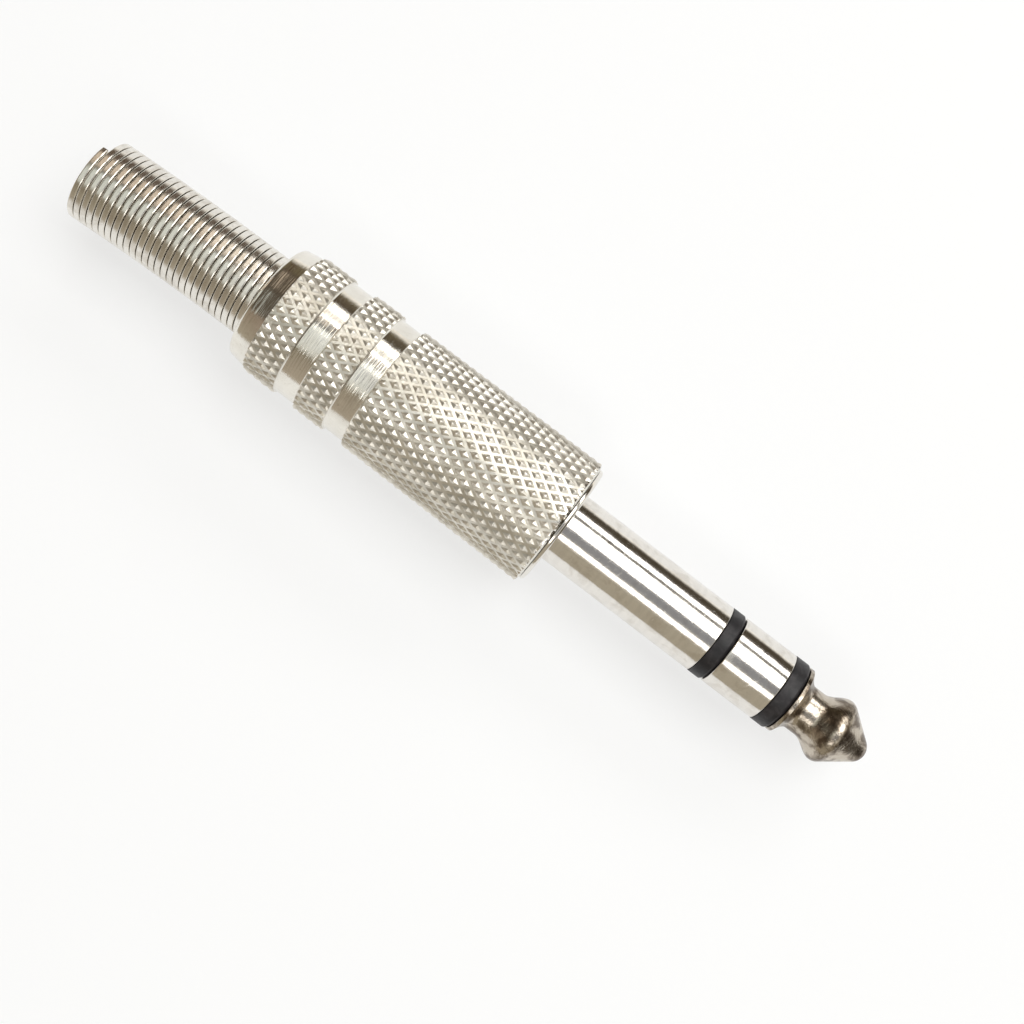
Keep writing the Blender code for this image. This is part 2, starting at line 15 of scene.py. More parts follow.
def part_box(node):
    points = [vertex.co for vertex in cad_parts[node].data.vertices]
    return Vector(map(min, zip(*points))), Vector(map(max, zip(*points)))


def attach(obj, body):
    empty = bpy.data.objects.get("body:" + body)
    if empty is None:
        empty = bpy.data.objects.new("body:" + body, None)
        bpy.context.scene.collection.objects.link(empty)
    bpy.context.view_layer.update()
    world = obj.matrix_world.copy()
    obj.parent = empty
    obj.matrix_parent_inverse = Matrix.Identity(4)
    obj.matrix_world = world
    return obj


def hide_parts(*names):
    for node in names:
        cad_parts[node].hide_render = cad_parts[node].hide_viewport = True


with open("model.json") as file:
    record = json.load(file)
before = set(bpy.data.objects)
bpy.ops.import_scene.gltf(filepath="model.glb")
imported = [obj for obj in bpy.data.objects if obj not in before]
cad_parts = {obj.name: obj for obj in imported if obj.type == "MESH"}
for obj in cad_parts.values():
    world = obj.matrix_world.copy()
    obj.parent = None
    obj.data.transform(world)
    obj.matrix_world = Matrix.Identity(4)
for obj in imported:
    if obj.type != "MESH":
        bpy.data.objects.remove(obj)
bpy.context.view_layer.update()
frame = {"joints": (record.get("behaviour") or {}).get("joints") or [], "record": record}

bl_info = {
    "name": "Stereo jack plug",
    "version": (1, 0, 0),
    "blender": (4, 5, 0),
    "location": "View3D > Sidebar > Jack plug",
    "description": "Builds the finished pieces of a 6.35 mm stereo jack plug, its finishes and its stage",
    "category": "Object",
}

MM = 0.001

# What the frame gives: the shoulder, the axis and where each node starts and ends along it
SHOULDER = frame["record"]["mounts"][0]["pos_m"][0]
AXIS_HEIGHT = next(joint["pos_m"][2] for joint in frame["joints"] if joint["name"] == "shell_turn")
ON_AXIS = Vector((0.0, 0.0, AXIS_HEIGHT))
ALONG = Vector((1.0, 0.0, 0.0))

# Facets round the axis, of what shows and of the tubes in the core
SIDES = 128
CORE_SIDES = 64

# Distances that count as none: between corners, at the axis, and from a plane across it
SAME_PLACE = 0.0005 * MM
POLE = 0.0001 * MM
IN_PLANE = 0.002 * MM


def ends(node):
    """Stations of a node's rear and front ends."""
    low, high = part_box(node)
    return low.x - SHOULDER, high.x - SHOULDER


BOSS_BACK, SLEEVE_FRONT = ends("plug_body")
RING_INSULATOR_FRONT = ends("ring_insulator")[1]
TIP_INSULATOR_FRONT = ends("tip_insulator")[1]
RING_RIVET_BACK, RING_FRONT = ends("ring_contact")
ROD_RIVET_BACK = ends("tip_contact")[0]
TAG_BACK, TAG_FRONT = ends("ground_tag")
SPRING_BACK, SPRING_FRONT = ends("strain_relief_spring")
SHELL_BACK, SHELL_FRONT = ends("shell")


# Settings


def length(name, description, millimetres):
    """A setting that is a length, with its default in millimetres."""
    return bpy.props.FloatProperty(
        name=name, description=description, default=millimetres * MM, unit="LENGTH", precision=5
    )


def paint(name, description, color):
    """A setting that is a colour."""
    return bpy.props.FloatVectorProperty(
        name=name, description=description, default=color, subtype="COLOR", size=3, min=0.0, max=1.0
    )


class ContactSettings(bpy.types.PropertyGroup):
    """Sizes of the turned contacts and what runs through them"""

    shank_radius: length("Shank radius", "Radius of the sleeve and the ring", 3.175)
    proud: length("Insulators proud", "How far the black rings stand above the shank", 0.02)
    insulator_chamfer: length("Insulator chamfer", "Chamfer at the front of the black rings", 0.24)
    edge: length("Edge round", "Round on the turned edges", 0.09)
    plastic_edge: length("Plastic edge round", "Round on the edges of the black rings and tubes", 0.06)
    tip_length: length("Tip length", "From the black ring to the end of the nose", 7.85)
    collar_radius: length("Collar radius", "Radius at the base of the tip", 3.1)
    collar_length: length("Collar length", "Straight part at the base of the tip", 0.35)
    neck_radius: length("Neck radius", "Radius of the waist that the socket's spring holds", 2.08)
    neck_start: length("Neck start", "From the tip's base to the waist", 1.3)
    neck_end: length("Neck end", "From the tip's base to the end of the waist", 2.28)
    bulb_station: length("Bulb station", "From the tip's base to its widest place", 4.38)
    bulb_radius: length("Bulb radius", "Radius at the widest place of the tip", 2.99)
    bulb_round: length("Bulb round", "Round between the swell and the cone", 1.0)
    nose_round: length("Nose round", "Round at the end of the cone", 1.3)
    rod_radius: length("Rod radius", "Radius of the tip's rod", 0.9)
    rod_tube_wall: length("Rod tube wall", "Wall of the tube round the rod", 0.35)
    ring_tube_wall: length("Ring tube wall", "Wall of the ring's tube", 0.45)
    ring_sleeve_wall: length("Ring sleeve wall", "Wall of the tube round the ring's tube", 0.35)
    fit: length("Fit", "Clearance round each piece of the core", 0.05)
    flange_thickness: length("Flange thickness", "Thickness of the flange in front of the shell", 0.42)
    flange_radius: length("Flange radius", "Radius at the back of the flange", 5.55)
    flange_face: length("Flange face radius", "Radius at the front of the flange", 4.8)
    flange_rim: length("Flange rim", "Round at the front of the flange", 0.3)
    flange_back_rim: length("Flange back rim", "Round at the back of the flange", 0.05)
    shank_fillet: length("Shank fillet", "Fillet between the shank and the flange", 0.03)
    boss_radius: length("Boss radius", "Radius over the boss's thread", 4.6)
    thread_relief: length("Thread relief", "Plain stretch between the flange and the thread", 0.35)
    boss_chamfer: length("Boss chamfer", "Chamfer at the back of the boss", 0.3)
    seat: length("Seat gap", "Gap between faces that meet", 0.03)


class TerminalSettings(bpy.types.PropertyGroup):
    """Sizes of the solder lugs, their washers and the ground tag"""

    sheet: length("Tag sheet", "Thickness of the ground tag", 0.5)
    liner_wall: length("Liner wall", "Wall of the insulating tube inside the shell", 0.35)
    tag_play: length("Tag play", "Gap between the tag and the liner", 0.1)
    strip: length("Strip length", "From the boss to the clamp", 11.5)
    finger: length("Finger length", "Width of one clamp finger along the axis", 2.6)
    finger_gap: length("Finger gap", "Gap between the two clamp fingers", 0.6)
    cut_edge: length("Cut edge round", "Round on the edges of the washers and the liner", 0.05)
    washer_radius: length("Washer radius", "Radius of the brown washers", 3.2)
    lug_radius: length("Lug radius", "Radius of the lugs' discs", 2.6)
    lug_sheet: length("Lug sheet", "Thickness of the lugs", 0.4)
    lug_reach: length("Lug reach", "How far the tabs stand from the axis", 3.6)
    lug_width: length("Lug width", "Width of the tabs", 2.0)
    lug_bend: length("Lug bend", "Inside radius of the bend in the tabs", 0.25)
    ring_rivet: length("Ring rivet radius", "Flare of the ring's tube over its lug", 2.3)
    ring_rivet_length: length("Ring rivet length", "Length of that flare", 0.3)
    rod_rivet: length("Rod rivet radius", "Riveted end of the rod", 1.5)
    rod_rivet_length: length("Rod rivet length", "Length of the riveted end", 0.7)


class ShellSettings(bpy.types.PropertyGroup):
    """Sizes of the knurled shell"""

    front_radius: length("Front radius", "Radius over the knurl at the front", 5.98)
    rear_radius: length("Rear radius", "Radius over the knurl at the back", 5.73)
    depth: length("Knurl depth", "From the points down to the bottom of the cuts", 0.165)
    rows_one: bpy.props.IntProperty(
        name="Right-hand cuts", description="Cuts of the first wheel in one turn", default=38, min=8
    )
    rows_two: bpy.props.IntProperty(
        name="Left-hand cuts", description="Cuts of the second wheel in one turn", default=42, min=8
    )
    pitch_one: length("Right-hand pitch", "Spacing of the first wheel's cuts along the shell", 1.5)
    pitch_two: length("Left-hand pitch", "Spacing of the second wheel's cuts along the shell", 1.58)
    unevenness: length("Unevenness", "How much the points differ in height", 0.022)
    chamfer: length("Front chamfer", "Chamfer at the open front edge", 0.15)
    front_knurl: length("Front knurl", "Length of the front knurled band", 18.02)
    groove: length("Groove", "Length of each plain groove", 2.12)
    middle_knurl: length("Middle knurl", "Length of the middle knurled band", 2.85)
    rear_knurl: length("Rear knurl", "Length of the rear knurled band", 3.05)
    groove_radius: length("Groove radius", "Radius at the bottom of the grooves", 5.48)
    groove_chamfer: length("Groove chamfer", "Chamfer in the corners of the grooves", 0.12)
    band_radius: length("Band radius", "Radius of the plain rear band", 5.55)
    edge_radius: length("Rear edge radius", "Radius where the rear band turns in", 5.3)
    edge_round: length("Rear round", "Round at the rear edge", 0.45)
    reach: length("Shell reach", "How far the finished shell reaches behind its solid", 0.17)
    lip: length("Lip", "Thickness of the lip that holds the spring", 0.9)
    bore: length("Bore", "Radius inside the shell", 4.7)
    spring_hole: length("Spring hole", "Radius of the hole for the spring", 4.0)
    hole_chamfer: length("Hole chamfer", "Chamfer at both ends of that hole", 0.08)
    lead_in: length("Lead-in", "Chamfer at the front of the bore", 0.25)
    thread_pitch: length("Thread pitch", "Pitch of the thread that holds the shell", 0.75)
    thread_depth: length("Thread depth", "Depth of that thread", 0.22)
    thread_over: length("Thread over", "How far the shell's thread reaches behind the boss", 0.6)


class SpringSettings(bpy.types.PropertyGroup):
    """Sizes of the spring strain relief"""

    radius: length("Radius", "Outer radius of the coil", 3.8)
    height: length("Wire height", "Radial height of the flat wire", 0.6)
    width: length("Wire width", "Width of the flat wire along the coil", 0.535)
    gap: length("Turn gap", "Gap between turns", 0.08)
    corner: length("Wire corner", "Round on the wire's edges", 0.1)
    reach: length("Spring reach", "How far the finished spring reaches behind its solid", 0.23)
    droop: length("Bend", "How far the free end stands off the axis towards -Y", 0.55)
    flare_turns: bpy.props.FloatProperty(
        name="Flare turns", description="Turns over which the coil widens inside the lip", default=0.75
    )
    held_turns: bpy.props.FloatProperty(
        name="Held turns", description="Wide turns that hold the spring in the shell", default=0.5
    )
    held_radius: length("Held radius", "Outer radius of the wide turns", 4.5)
    end_angle: bpy.props.FloatProperty(
        name="End angle",
        description="Where the wire ends at the back, from +Y towards +Z",
        default=math.radians(52.5),
        subtype="ANGLE",
    )
    steps: bpy.props.IntProperty(name="Steps", description="Steps in one turn", default=64, min=12)


class FinishSettings(bpy.types.PropertyGroup):
    """Colours of the plug's finishes"""

    nickel: paint("Nickel", "Polished nickel of the body and the ring", (0.81, 0.78, 0.73))
    shell_nickel: paint("Shell nickel", "Nickel of the knurled shell", (0.84, 0.81, 0.74))
    tip_nickel: paint("Tip nickel", "Darker nickel of the tip", (0.56, 0.50, 0.42))
    spring_nickel: paint("Spring nickel", "Plated spring wire", (0.83, 0.80, 0.74))
    # Painted shade: this colour darkens the bottoms of the knurl's cuts, where less light reaches
    painted_cut_shade: paint("Grime", "What has settled in the cuts", (0.30, 0.28, 0.22))
    tarnish: paint("Tarnish", "Brown film on the plating", (0.36, 0.29, 0.20))
    tip_tarnish: paint("Tip tarnish", "Dark film on the tip", (0.10, 0.07, 0.045))
    tinned: paint("Tinned brass", "Sheet of the lugs and the tag", (0.72, 0.66, 0.52))
    sheet_tarnish: paint("Sheet tarnish", "Brown film on the tinned sheet", (0.42, 0.30, 0.16))
    black: paint("Black", "Moulded insulators", (0.008, 0.007, 0.009))
    worn_black: paint("Worn black", "Rubbed places on the insulators", (0.04, 0.036, 0.040))
    tube: paint("Tube", "Natural white tube", (0.78, 0.76, 0.71))
    worn_tube: paint("Worn tube", "Darker places on the tubes", (0.62, 0.59, 0.52))
    board: paint("Board", "Brown laminated board", (0.25, 0.12, 0.05))
    worn_board: paint("Worn board", "Darker places on the board", (0.12, 0.06, 0.03))


class StageSettings(bpy.types.PropertyGroup):
    """Floor, light and camera"""

    floor: paint("Floor", "Colour of the floor", (0.95, 0.975, 1.0))
    floor_glow: bpy.props.FloatProperty(
        name="Floor whiteness", description="Share of plain white in what is seen of the floor", default=0.62
    )
    camera_height: length("Camera height", "From the plug's axis up to the camera", 125.0)
    camera_along: length("Camera along", "Where the camera stands along the plug", 4.36)
    camera_across: length("Camera across", "Where the camera stands across the plug", -1.63)
    camera_turn: bpy.props.FloatProperty(
        name="Camera turn",
        description="How far the camera is turned round its line of sight",
        default=math.radians(37.36),
        subtype="ANGLE",
    )
    lens: bpy.props.FloatProperty(
        name="Lens", description="Focal length of the camera", default=53.3, unit="CAMERA"
    )
    key_power: bpy.props.FloatProperty(name="Key", description="Radiance of the softboxes", default=2.8)
    strip_power: bpy.props.FloatProperty(name="Strip", description="Radiance of the thin strip", default=2.4)


# Mesh helpers


def place(station, radius, turn=0.0):
    """A point in the frame, its angle measured round the axis from straight up towards -Y."""
    return Vector(
        (SHOULDER + station, -radius * math.sin(turn), AXIS_HEIGHT + radius * math.cos(turn))
    )


def radius_of(point):
    """Distance from the axis."""
    return math.hypot(point.y, point.z - AXIS_HEIGHT)


def turn_of(point):
    """Angle round the axis, as place takes it."""
    return math.atan2(-point.y, point.z - AXIS_HEIGHT)


def set_radius(vert, radius):
    """Move a corner straight out from or in towards the axis."""
    share = radius / radius_of(vert.co)
    vert.co.y *= share
    vert.co.z = AXIS_HEIGHT + (vert.co.z - AXIS_HEIGHT) * share


def arc(station, radius, reach, start, end, steps):
    """Profile points on a round of radius reach, with angles from the axis direction."""
    points = []
    for step in range(steps + 1):
        angle = start + (end - start) * step / steps
        points.append((station + reach * math.cos(angle), radius + reach * math.sin(angle)))
    return points


def stations_between(start, end, step):
    """Evenly spaced stations from start to end, about a step apart."""
    count = max(2, round(abs(end - start) / step))
    return [start + (end - start) * number / count for number in range(count + 1)]


def only(kind, geometry):
    """The items of one kind in an operator's result."""
    return [item for item in geometry if isinstance(item, kind)]


def merge_doubles(bm, distance=SAME_PLACE):
    """Merge the corners that lie this close together."""
    bmesh.ops.remove_doubles(bm, verts=bm.verts[:], dist=distance)


def full_turn(bm, geom, sides=SIDES):
    """Spin an outline once round the axis, closed where it comes back to its start."""
    bmesh.ops.spin(
        bm, geom=geom, axis=ALONG, cent=ON_AXIS, angle=math.tau, steps=sides, use_merge=True
    )


def spin_profile(bm, profile, sides=SIDES):
    """Spin an open profile of (station, radius) points round the axis."""
    verts = [bm.verts.new(place(station, radius)) for station, radius in profile]
    full_turn(bm, verts + [bm.edges.new(pair) for pair in zip(verts, verts[1:])], sides)


def rounded_outline(bm, points, edge):
    """A closed outline with rounded corners, from (station, radius, round or not) points."""
    verts = [bm.verts.new(place(station, radius)) for station, radius, _ in points]
    bm.faces.new(verts)
    bmesh.ops.bevel(
        bm,
        geom=[vert for vert, (_, _, soft) in zip(verts, points) if soft],
        offset=edge,
        offset_type="OFFSET",
        affect="VERTICES",
        segments=3,
        profile=0.5,
        material=-1,
    )
    bmesh.ops.delete(bm, geom=bm.faces[:], context="FACES_ONLY")
    return bm.verts[:] + bm.edges[:]


def turned(points, edge, sides=SIDES):
    """A turned piece with a bore, from the points of its closed section."""
    bm = bmesh.new()
    full_turn(bm, rounded_outline(bm, points, edge), sides)
    return bm


def tube(back, front, radius, bore, edge, sides=SIDES):
    """A straight tube or a flat washer with rounded edges."""
    section = [(back, bore, True), (front, bore, True), (front, radius, True), (back, radius, True)]
    return turned(section, edge, sides)


def new_object(name, bm, material):
    """An object at the origin with this mesh and material."""
    mesh = bpy.data.meshes.new(name)
    bm.to_mesh(mesh)
    bm.free()
    mesh.materials.append(material)
    obj = bpy.data.objects.new(name, mesh)
    bpy.context.scene.collection.objects.link(obj)
    return obj


def piece(name, bm, finish, body, slot, *nodes, sharp=35.0):
    """One finished piece, riding on its body in place of the nodes that it stands for."""
    bmesh.ops.recalc_face_normals(bm, faces=bm.faces[:])
    obj = new_object(name, bm, bpy.data.materials[finish])
    obj.data.shade_smooth()
    obj.data.set_sharp_from_angle(angle=math.radians(sharp))
    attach(obj, body)
    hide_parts(*nodes)
    return obj


# Node helpers and shared effects


def add_node(tree, kind, **settings):
    """A node with its settings, and with its inputs linked or set by name or number."""
    inputs = settings.pop("inputs", {})
    made = tree.nodes.new(kind)
    for key, value in settings.items():
        setattr(made, key, value)
    for key, value in inputs.items():
        if isinstance(value, bpy.types.NodeSocket):
            tree.links.new(value, made.inputs[key])
        else:
            made.inputs[key].default_value = value
    return made


def math_node(tree, operation, first, second=0.0):
    """One calculation with two values."""
    return add_node(tree, "ShaderNodeMath", operation=operation, inputs={0: first, 1: second}).outputs[0]


def product(tree, first, second):
    """One value times another."""
    return math_node(tree, "MULTIPLY", first, second)


def total(tree, first, *others):
    """The sum of several values."""
    for value in others:
        first = math_node(tree, "ADD", first, value)
    return first


def ramp(tree, value, low, high, to_low=0.0, to_high=1.0):
    """Smoothly maps value from low..high to to_low..to_high."""
    return add_node(
        tree,
        "ShaderNodeMapRange",
        interpolation_type="SMOOTHSTEP",
        inputs={"Value": value, "From Min": low, "From Max": high, "To Min": to_low, "To Max": to_high},
    ).outputs["Result"]


def mix_color(tree, share, first, second):
    """A share of the second colour over the first, which are this node's inputs 6 and 7."""
    inputs = {0: share, 6: first, 7: second}
    return add_node(tree, "ShaderNodeMix", data_type="RGBA", inputs=inputs).outputs[2]


def noise_node(tree, vector, scale, **settings):
    """Smooth noise, from 0 to 1."""
    inputs = {"Vector": vector, "Scale": scale, **settings}
    return add_node(tree, "ShaderNodeTexNoise", inputs=inputs).outputs[0]


def effect_group(name, outputs, **inputs):
    """A node group that takes a vector and named numbers, with its input node and its output node."""
    group = bpy.data.node_groups.new(name, "ShaderNodeTree")
    group.interface.new_socket(name="Vector", in_out="INPUT", socket_type="NodeSocketVector")
    for socket, default in inputs.items():
        made = group.interface.new_socket(name=socket, in_out="INPUT", socket_type="NodeSocketFloat")
        made.default_value = default
    for socket in outputs:
        group.interface.new_socket(name=socket, in_out="OUTPUT", socket_type="NodeSocketFloat")
    given = add_node(group, "NodeGroupInput").outputs
    return group, given, add_node(group, "NodeGroupOutput").inputs


def use_group(tree, name, **inputs):
    """A shared effect placed in a material, with its own values."""
    group = bpy.data.node_groups[name]
    return add_node(tree, "ShaderNodeGroup", node_tree=group, inputs=inputs).outputs


def turned_lines_group():
    """Fine lines that a lathe tool leaves round the axis, also on faces across it."""
    on_faces = 0.8
    round_scale = 110.0
    group, given, out = effect_group("Turned lines", ("Height", "Mask"), Lines=9000.0)
    parts = add_node(group, "ShaderNodeSeparateXYZ", inputs={0: given["Vector"]}).outputs
    across = math_node(group, "SUBTRACT", parts["Z"], AXIS_HEIGHT)
    squares = [math_node(group, "POWER", part, 2.0) for part in (parts["Y"], across)]
    outwards = math_node(group, "SQRT", total(group, *squares))
    along = total(group, parts["X"], product(group, outwards, on_faces))
    inputs = {
        "X": product(group, along, given["Lines"]),
        "Y": product(group, parts["Y"], round_scale),
        "Z": product(group, across, round_scale),
    }
    spot = add_node(group, "ShaderNodeCombineXYZ", inputs=inputs).outputs[0]
    fine = noise_node(group, spot, 1.0, Detail=3.0, Roughness=0.65)
    broad = noise_node(group, spot, 0.17, Detail=2.0, Roughness=0.5)
    group.links.new(fine, out["Height"])
    group.links.new(ramp(group, broad, 0.4, 0.62), out["Mask"])


def blotches_group():
    """Soft uneven patches, with finer ones inside them."""
    sizes = {"Scale": 400.0, "From": 0.45, "To": 0.7}
    group, given, out = effect_group("Blotches", ("Mask", "Height"), **sizes)
    patch = noise_node(
        group, given["Vector"], given["Scale"], Detail=5.0, Roughness=0.6, Distortion=0.4
    )
    group.links.new(ramp(group, patch, given["From"], given["To"]), out["Mask"])
    group.links.new(patch, out["Height"])


def scratches_group():
    """Short fine scratches in two directions."""
    drawn_out = (0.12, 2.4, 2.4)
    group, given, out = effect_group("Scratches", ("Mask",), Scale=500.0)
    masks = []
    for turn in (0.5, -0.9):
        inputs = {"Vector": given["Vector"], "Rotation": (turn, turn, turn)}
        turned_at = add_node(group, "ShaderNodeMapping", inputs=inputs).outputs[0]
        inputs = {"Vector": turned_at, "Scale": drawn_out}
        squeezed = add_node(group, "ShaderNodeMapping", inputs=inputs).outputs[0]
        speckle = noise_node(group, squeezed, given["Scale"], Detail=2.0)
        masks.append(ramp(group, speckle, 0.66, 0.74))
    group.links.new(math_node(group, "MAXIMUM", *masks), out["Mask"])


def bump(tree, height, distance, before=None):
    """A bump of so many metres."""
    inputs = {"Strength": 1.0, "Distance": distance, "Height": height}
    if before is not None:
        inputs["Normal"] = before
    return add_node(tree, "ShaderNodeBump", inputs=inputs).outputs[0]


def new_material(name, metallic, roughness, specular=0.5):
    """A material with its tree, its shader's sockets and the Object coordinates."""
    material = bpy.data.materials.new(name)
    material.use_nodes = True
    tree = material.node_tree
    shader = tree.nodes["Principled BSDF"].inputs
    shader["Metallic"].default_value = metallic
    shader["Roughness"].default_value = roughness
    shader["Specular IOR Level"].default_value = specular
    return tree, shader, add_node(tree, "ShaderNodeTexCoord").outputs["Object"]


def color4(color, factor=1.0):
    """The colour, darkened by a factor, with its alpha."""
    return tuple(channel * factor for channel in color) + (1.0,)


def nickel(name, color, tarnish, smooth, rough, lines, line_depth, film, lumps, bare=0.46):
    """Nickel plate over turned brass, with its lathe lines, a patchy film and fine scratches."""
    line_share, line_shade, scuff = 0.16, 0.72, 0.12
    tree, shader, where = new_material(name, metallic=1.0, roughness=smooth)
    cut = use_group(tree, "Turned lines", Vector=where, Lines=lines)
    patches = use_group(tree, "Blotches", Vector=where, Scale=700.0, From=bare, To=bare + 0.2)
    specks = use_group(tree, "Blotches", Vector=where, Scale=2600.0, From=0.60, To=0.72)
    rubbed = use_group(tree, "Scratches", Vector=where, Scale=2200.0)
    tinted = mix_color(tree, product(tree, patches["Mask"], film), color4(color), color4(tarnish))
    lined = mix_color(tree, product(tree, cut["Mask"], line_share), tinted, color4(color, line_shade))
    spots = product(tree, specks["Mask"], film / 2)
    tree.links.new(mix_color(tree, spots, lined, color4(tarnish)), shader["Base Color"])
    dull = product(tree, patches["Height"], rough - smooth)
    scuffed = product(tree, rubbed["Mask"], scuff)
    tree.links.new(total(tree, dull, smooth, scuffed), shader["Roughness"])
    lumpy = bump(tree, patches["Height"], lumps, bump(tree, cut["Height"], line_depth))
    tree.links.new(bump(tree, specks["Height"], lumps / 4, lumpy), shader["Normal"])


def shell_nickel(finish):
    """Nickel of the shell: bright satin points, painted shade at the bottoms of the cuts, and streaks on the
    plain bands.
    """
    film_share, streak_share, streak_shade, scuff = 0.15, 0.14, 0.75, 0.12
    smooth, uneven, satin = 0.05, 0.16, 0.25
    line_depth, speck_depth = 0.018 * MM, 0.005 * MM
    tree, shader, where = new_material("shell_nickel_plate", metallic=1.0, roughness=0.3)
    depth = add_node(tree, "ShaderNodeAttribute", attribute_name=DEPTH_LAYER).outputs["Fac"]
    knurled = add_node(tree, "ShaderNodeAttribute", attribute_name=KNURL_LAYER).outputs["Fac"]
    cut = use_group(tree, "Turned lines", Vector=where, Lines=4200.0)
    patches = use_group(tree, "Blotches", Vector=where, Scale=420.0, From=0.4, To=0.7)
    specks = use_group(tree, "Blotches", Vector=where, Scale=3000.0, From=0.55, To=0.72)
    rubbed = use_group(tree, "Scratches", Vector=where, Scale=2200.0)
    bare, film = color4(finish.shell_nickel), color4(finish.tarnish)
    tinted = mix_color(tree, product(tree, patches["Mask"], film_share), bare, film)
    streaks = product(tree, cut["Mask"], streak_share)
    lined = mix_color(tree, streaks, tinted, color4(finish.shell_nickel, streak_shade))
    spotted = mix_color(tree, product(tree, specks["Mask"], film_share), lined, film)
    # Painted shade: the colour darkens in patches towards the bottom of each cut of the knurl
    low = ramp(tree, depth, 0.6, 1.0)
    painted_shade_share = product(tree, low, ramp(tree, patches["Height"], 0.3, 0.65, to_low=0.1, to_high=0.45))
    tree.links.new(mix_color(tree, painted_shade_share, spotted, color4(finish.painted_cut_shade)), shader["Base Color"])
    dull = product(tree, patches["Height"], uneven)
    pointed = product(tree, knurled, satin)
    scuffed = product(tree, rubbed["Mask"], scuff)
    tree.links.new(total(tree, dull, smooth, pointed, scuffed), shader["Roughness"])
    lathed = bump(tree, cut["Height"], line_depth)
    tree.links.new(bump(tree, specks["Height"], speck_depth, lathed), shader["Normal"])


def plain_finish(name, color, worn, roughness, mottle, grain_scale, grain_depth):
    """A moulded or laminated material with mottling and a fine grain."""
    tree, shader, where = new_material(name, metallic=0.0, roughness=roughness, specular=0.4)
    patches = use_group(tree, "Blotches", Vector=where, Scale=900.0, From=0.42, To=0.7)
    grain = use_group(tree, "Blotches", Vector=where, Scale=grain_scale, From=0.4, To=0.7)
    share = product(tree, patches["Mask"], mottle)
    tree.links.new(mix_color(tree, share, color4(color), color4(worn)), shader["Base Color"])
    tree.links.new(total(tree, product(tree, grain["Mask"], 0.12), roughness), shader["Roughness"])
    tree.links.new(bump(tree, grain["Height"], grain_depth), shader["Normal"])


class JACK_OT_finishes(bpy.types.Operator):
    """Make the shared effects and the finishes of every piece"""

    bl_idname = "jack.finishes"
    bl_label = "Finishes"

    def execute(self, context):
        finish = context.scene.jack_finish
        turned_lines_group()
        blotches_group()
        scratches_group()
        nickel(
            "contact_nickel_plate",
            finish.nickel,
            finish.tarnish,
            smooth=0.07,
            rough=0.2,
            lines=9000.0,
            line_depth=0.003 * MM,
            film=0.22,
            lumps=0.012 * MM,
        )
        nickel(
            "tip_nickel_plate",
            finish.tip_nickel,
            finish.tip_tarnish,
            smooth=0.12,
            rough=0.34,
            lines=6000.0,
            line_depth=0.004 * MM,
            film=0.9,
            lumps=0.06 * MM,
            bare=0.40,
        )
        nickel(
            "spring_nickel_plate",
            finish.spring_nickel,
            finish.tarnish,
            smooth=0.12,
            rough=0.3,
            lines=2500.0,
            line_depth=0.003 * MM,
            film=0.3,
            lumps=0.006 * MM,
        )
        nickel(
            "tinned_sheet",
            finish.tinned,
            finish.sheet_tarnish,
            smooth=0.22,
            rough=0.42,
            lines=3000.0,
            line_depth=0.002 * MM,
            film=0.35,
            lumps=0.004 * MM,
        )
        shell_nickel(finish)
        for name, color, worn, roughness, mottle, grain_scale, grain_depth in (
            ("black_moulding", finish.black, finish.worn_black, 0.42, 0.8, 6000.0, 0.004 * MM),
            ("white_tube", finish.tube, finish.worn_tube, 0.35, 0.3, 3000.0, 0.002 * MM),
            ("brown_laminate", finish.board, finish.worn_board, 0.5, 0.5, 4000.0, 0.004 * MM),
        ):
            plain_finish(name, color, worn, roughness, mottle, grain_scale, grain_depth)
        return {"FINISHED"}


# Contacts


def tip_outline(sizes):
    """The tip from its nose back to its base: nose, cone, bulb, neck and collar."""
    nose = Vector((sizes.tip_length - sizes.nose_round, 0.0))
    bulb = Vector((sizes.bulb_station, sizes.bulb_radius - sizes.bulb_round))
    to_nose = nose - bulb
    lean = math.acos((sizes.bulb_round - sizes.nose_round) / to_nose.length)
    cone_normal = math.atan2(to_nose.y, to_nose.x) + lean
    points = arc(nose.x, nose.y, sizes.nose_round, 0.0, cone_normal, steps=10)
    rounding = arc(bulb.x, bulb.y, sizes.bulb_round, cone_normal, math.pi / 2, steps=10)
    cone_start, cone_end = Vector(points[-1]), Vector(rounding[0])
    cone_steps = 8
    points += [tuple(cone_start.lerp(cone_end, step / cone_steps)) for step in range(1, cone_steps)]
    points += rounding
    swell_steps = 14
    for step in range(1, swell_steps + 1):
        share = step / swell_steps
        ease = share * share * (3 - 2 * share)
        station = sizes.bulb_station + (sizes.neck_end - sizes.bulb_station) * share
        points.append((station, sizes.bulb_radius + (sizes.neck_radius - sizes.bulb_radius) * ease))
    fillet_steps = 10
    for step in range(fillet_steps + 1):
        share = step / fillet_steps
        rise = 1 - math.cos(share * math.pi / 2)
        station = sizes.neck_start + (sizes.collar_length - sizes.neck_start) * share
        points.append((station, sizes.neck_radius + (sizes.collar_radius - sizes.neck_radius) * rise))
    return points


def core_radii(sizes):
    """Radii of the core from the rod outwards: tube bore and outside, ring bore, and so on."""
    tube_bore = sizes.rod_radius + sizes.fit
    tube_outside = tube_bore + sizes.rod_tube_wall
    ring_bore = tube_outside + sizes.fit
    ring_outside = ring_bore + sizes.ring_tube_wall
    sleeve_bore = ring_outside + sizes.fit
    sleeve_outside = sleeve_bore + sizes.ring_sleeve_wall
    return tube_bore, tube_outside, ring_bore, ring_outside, sleeve_bore, sleeve_outside


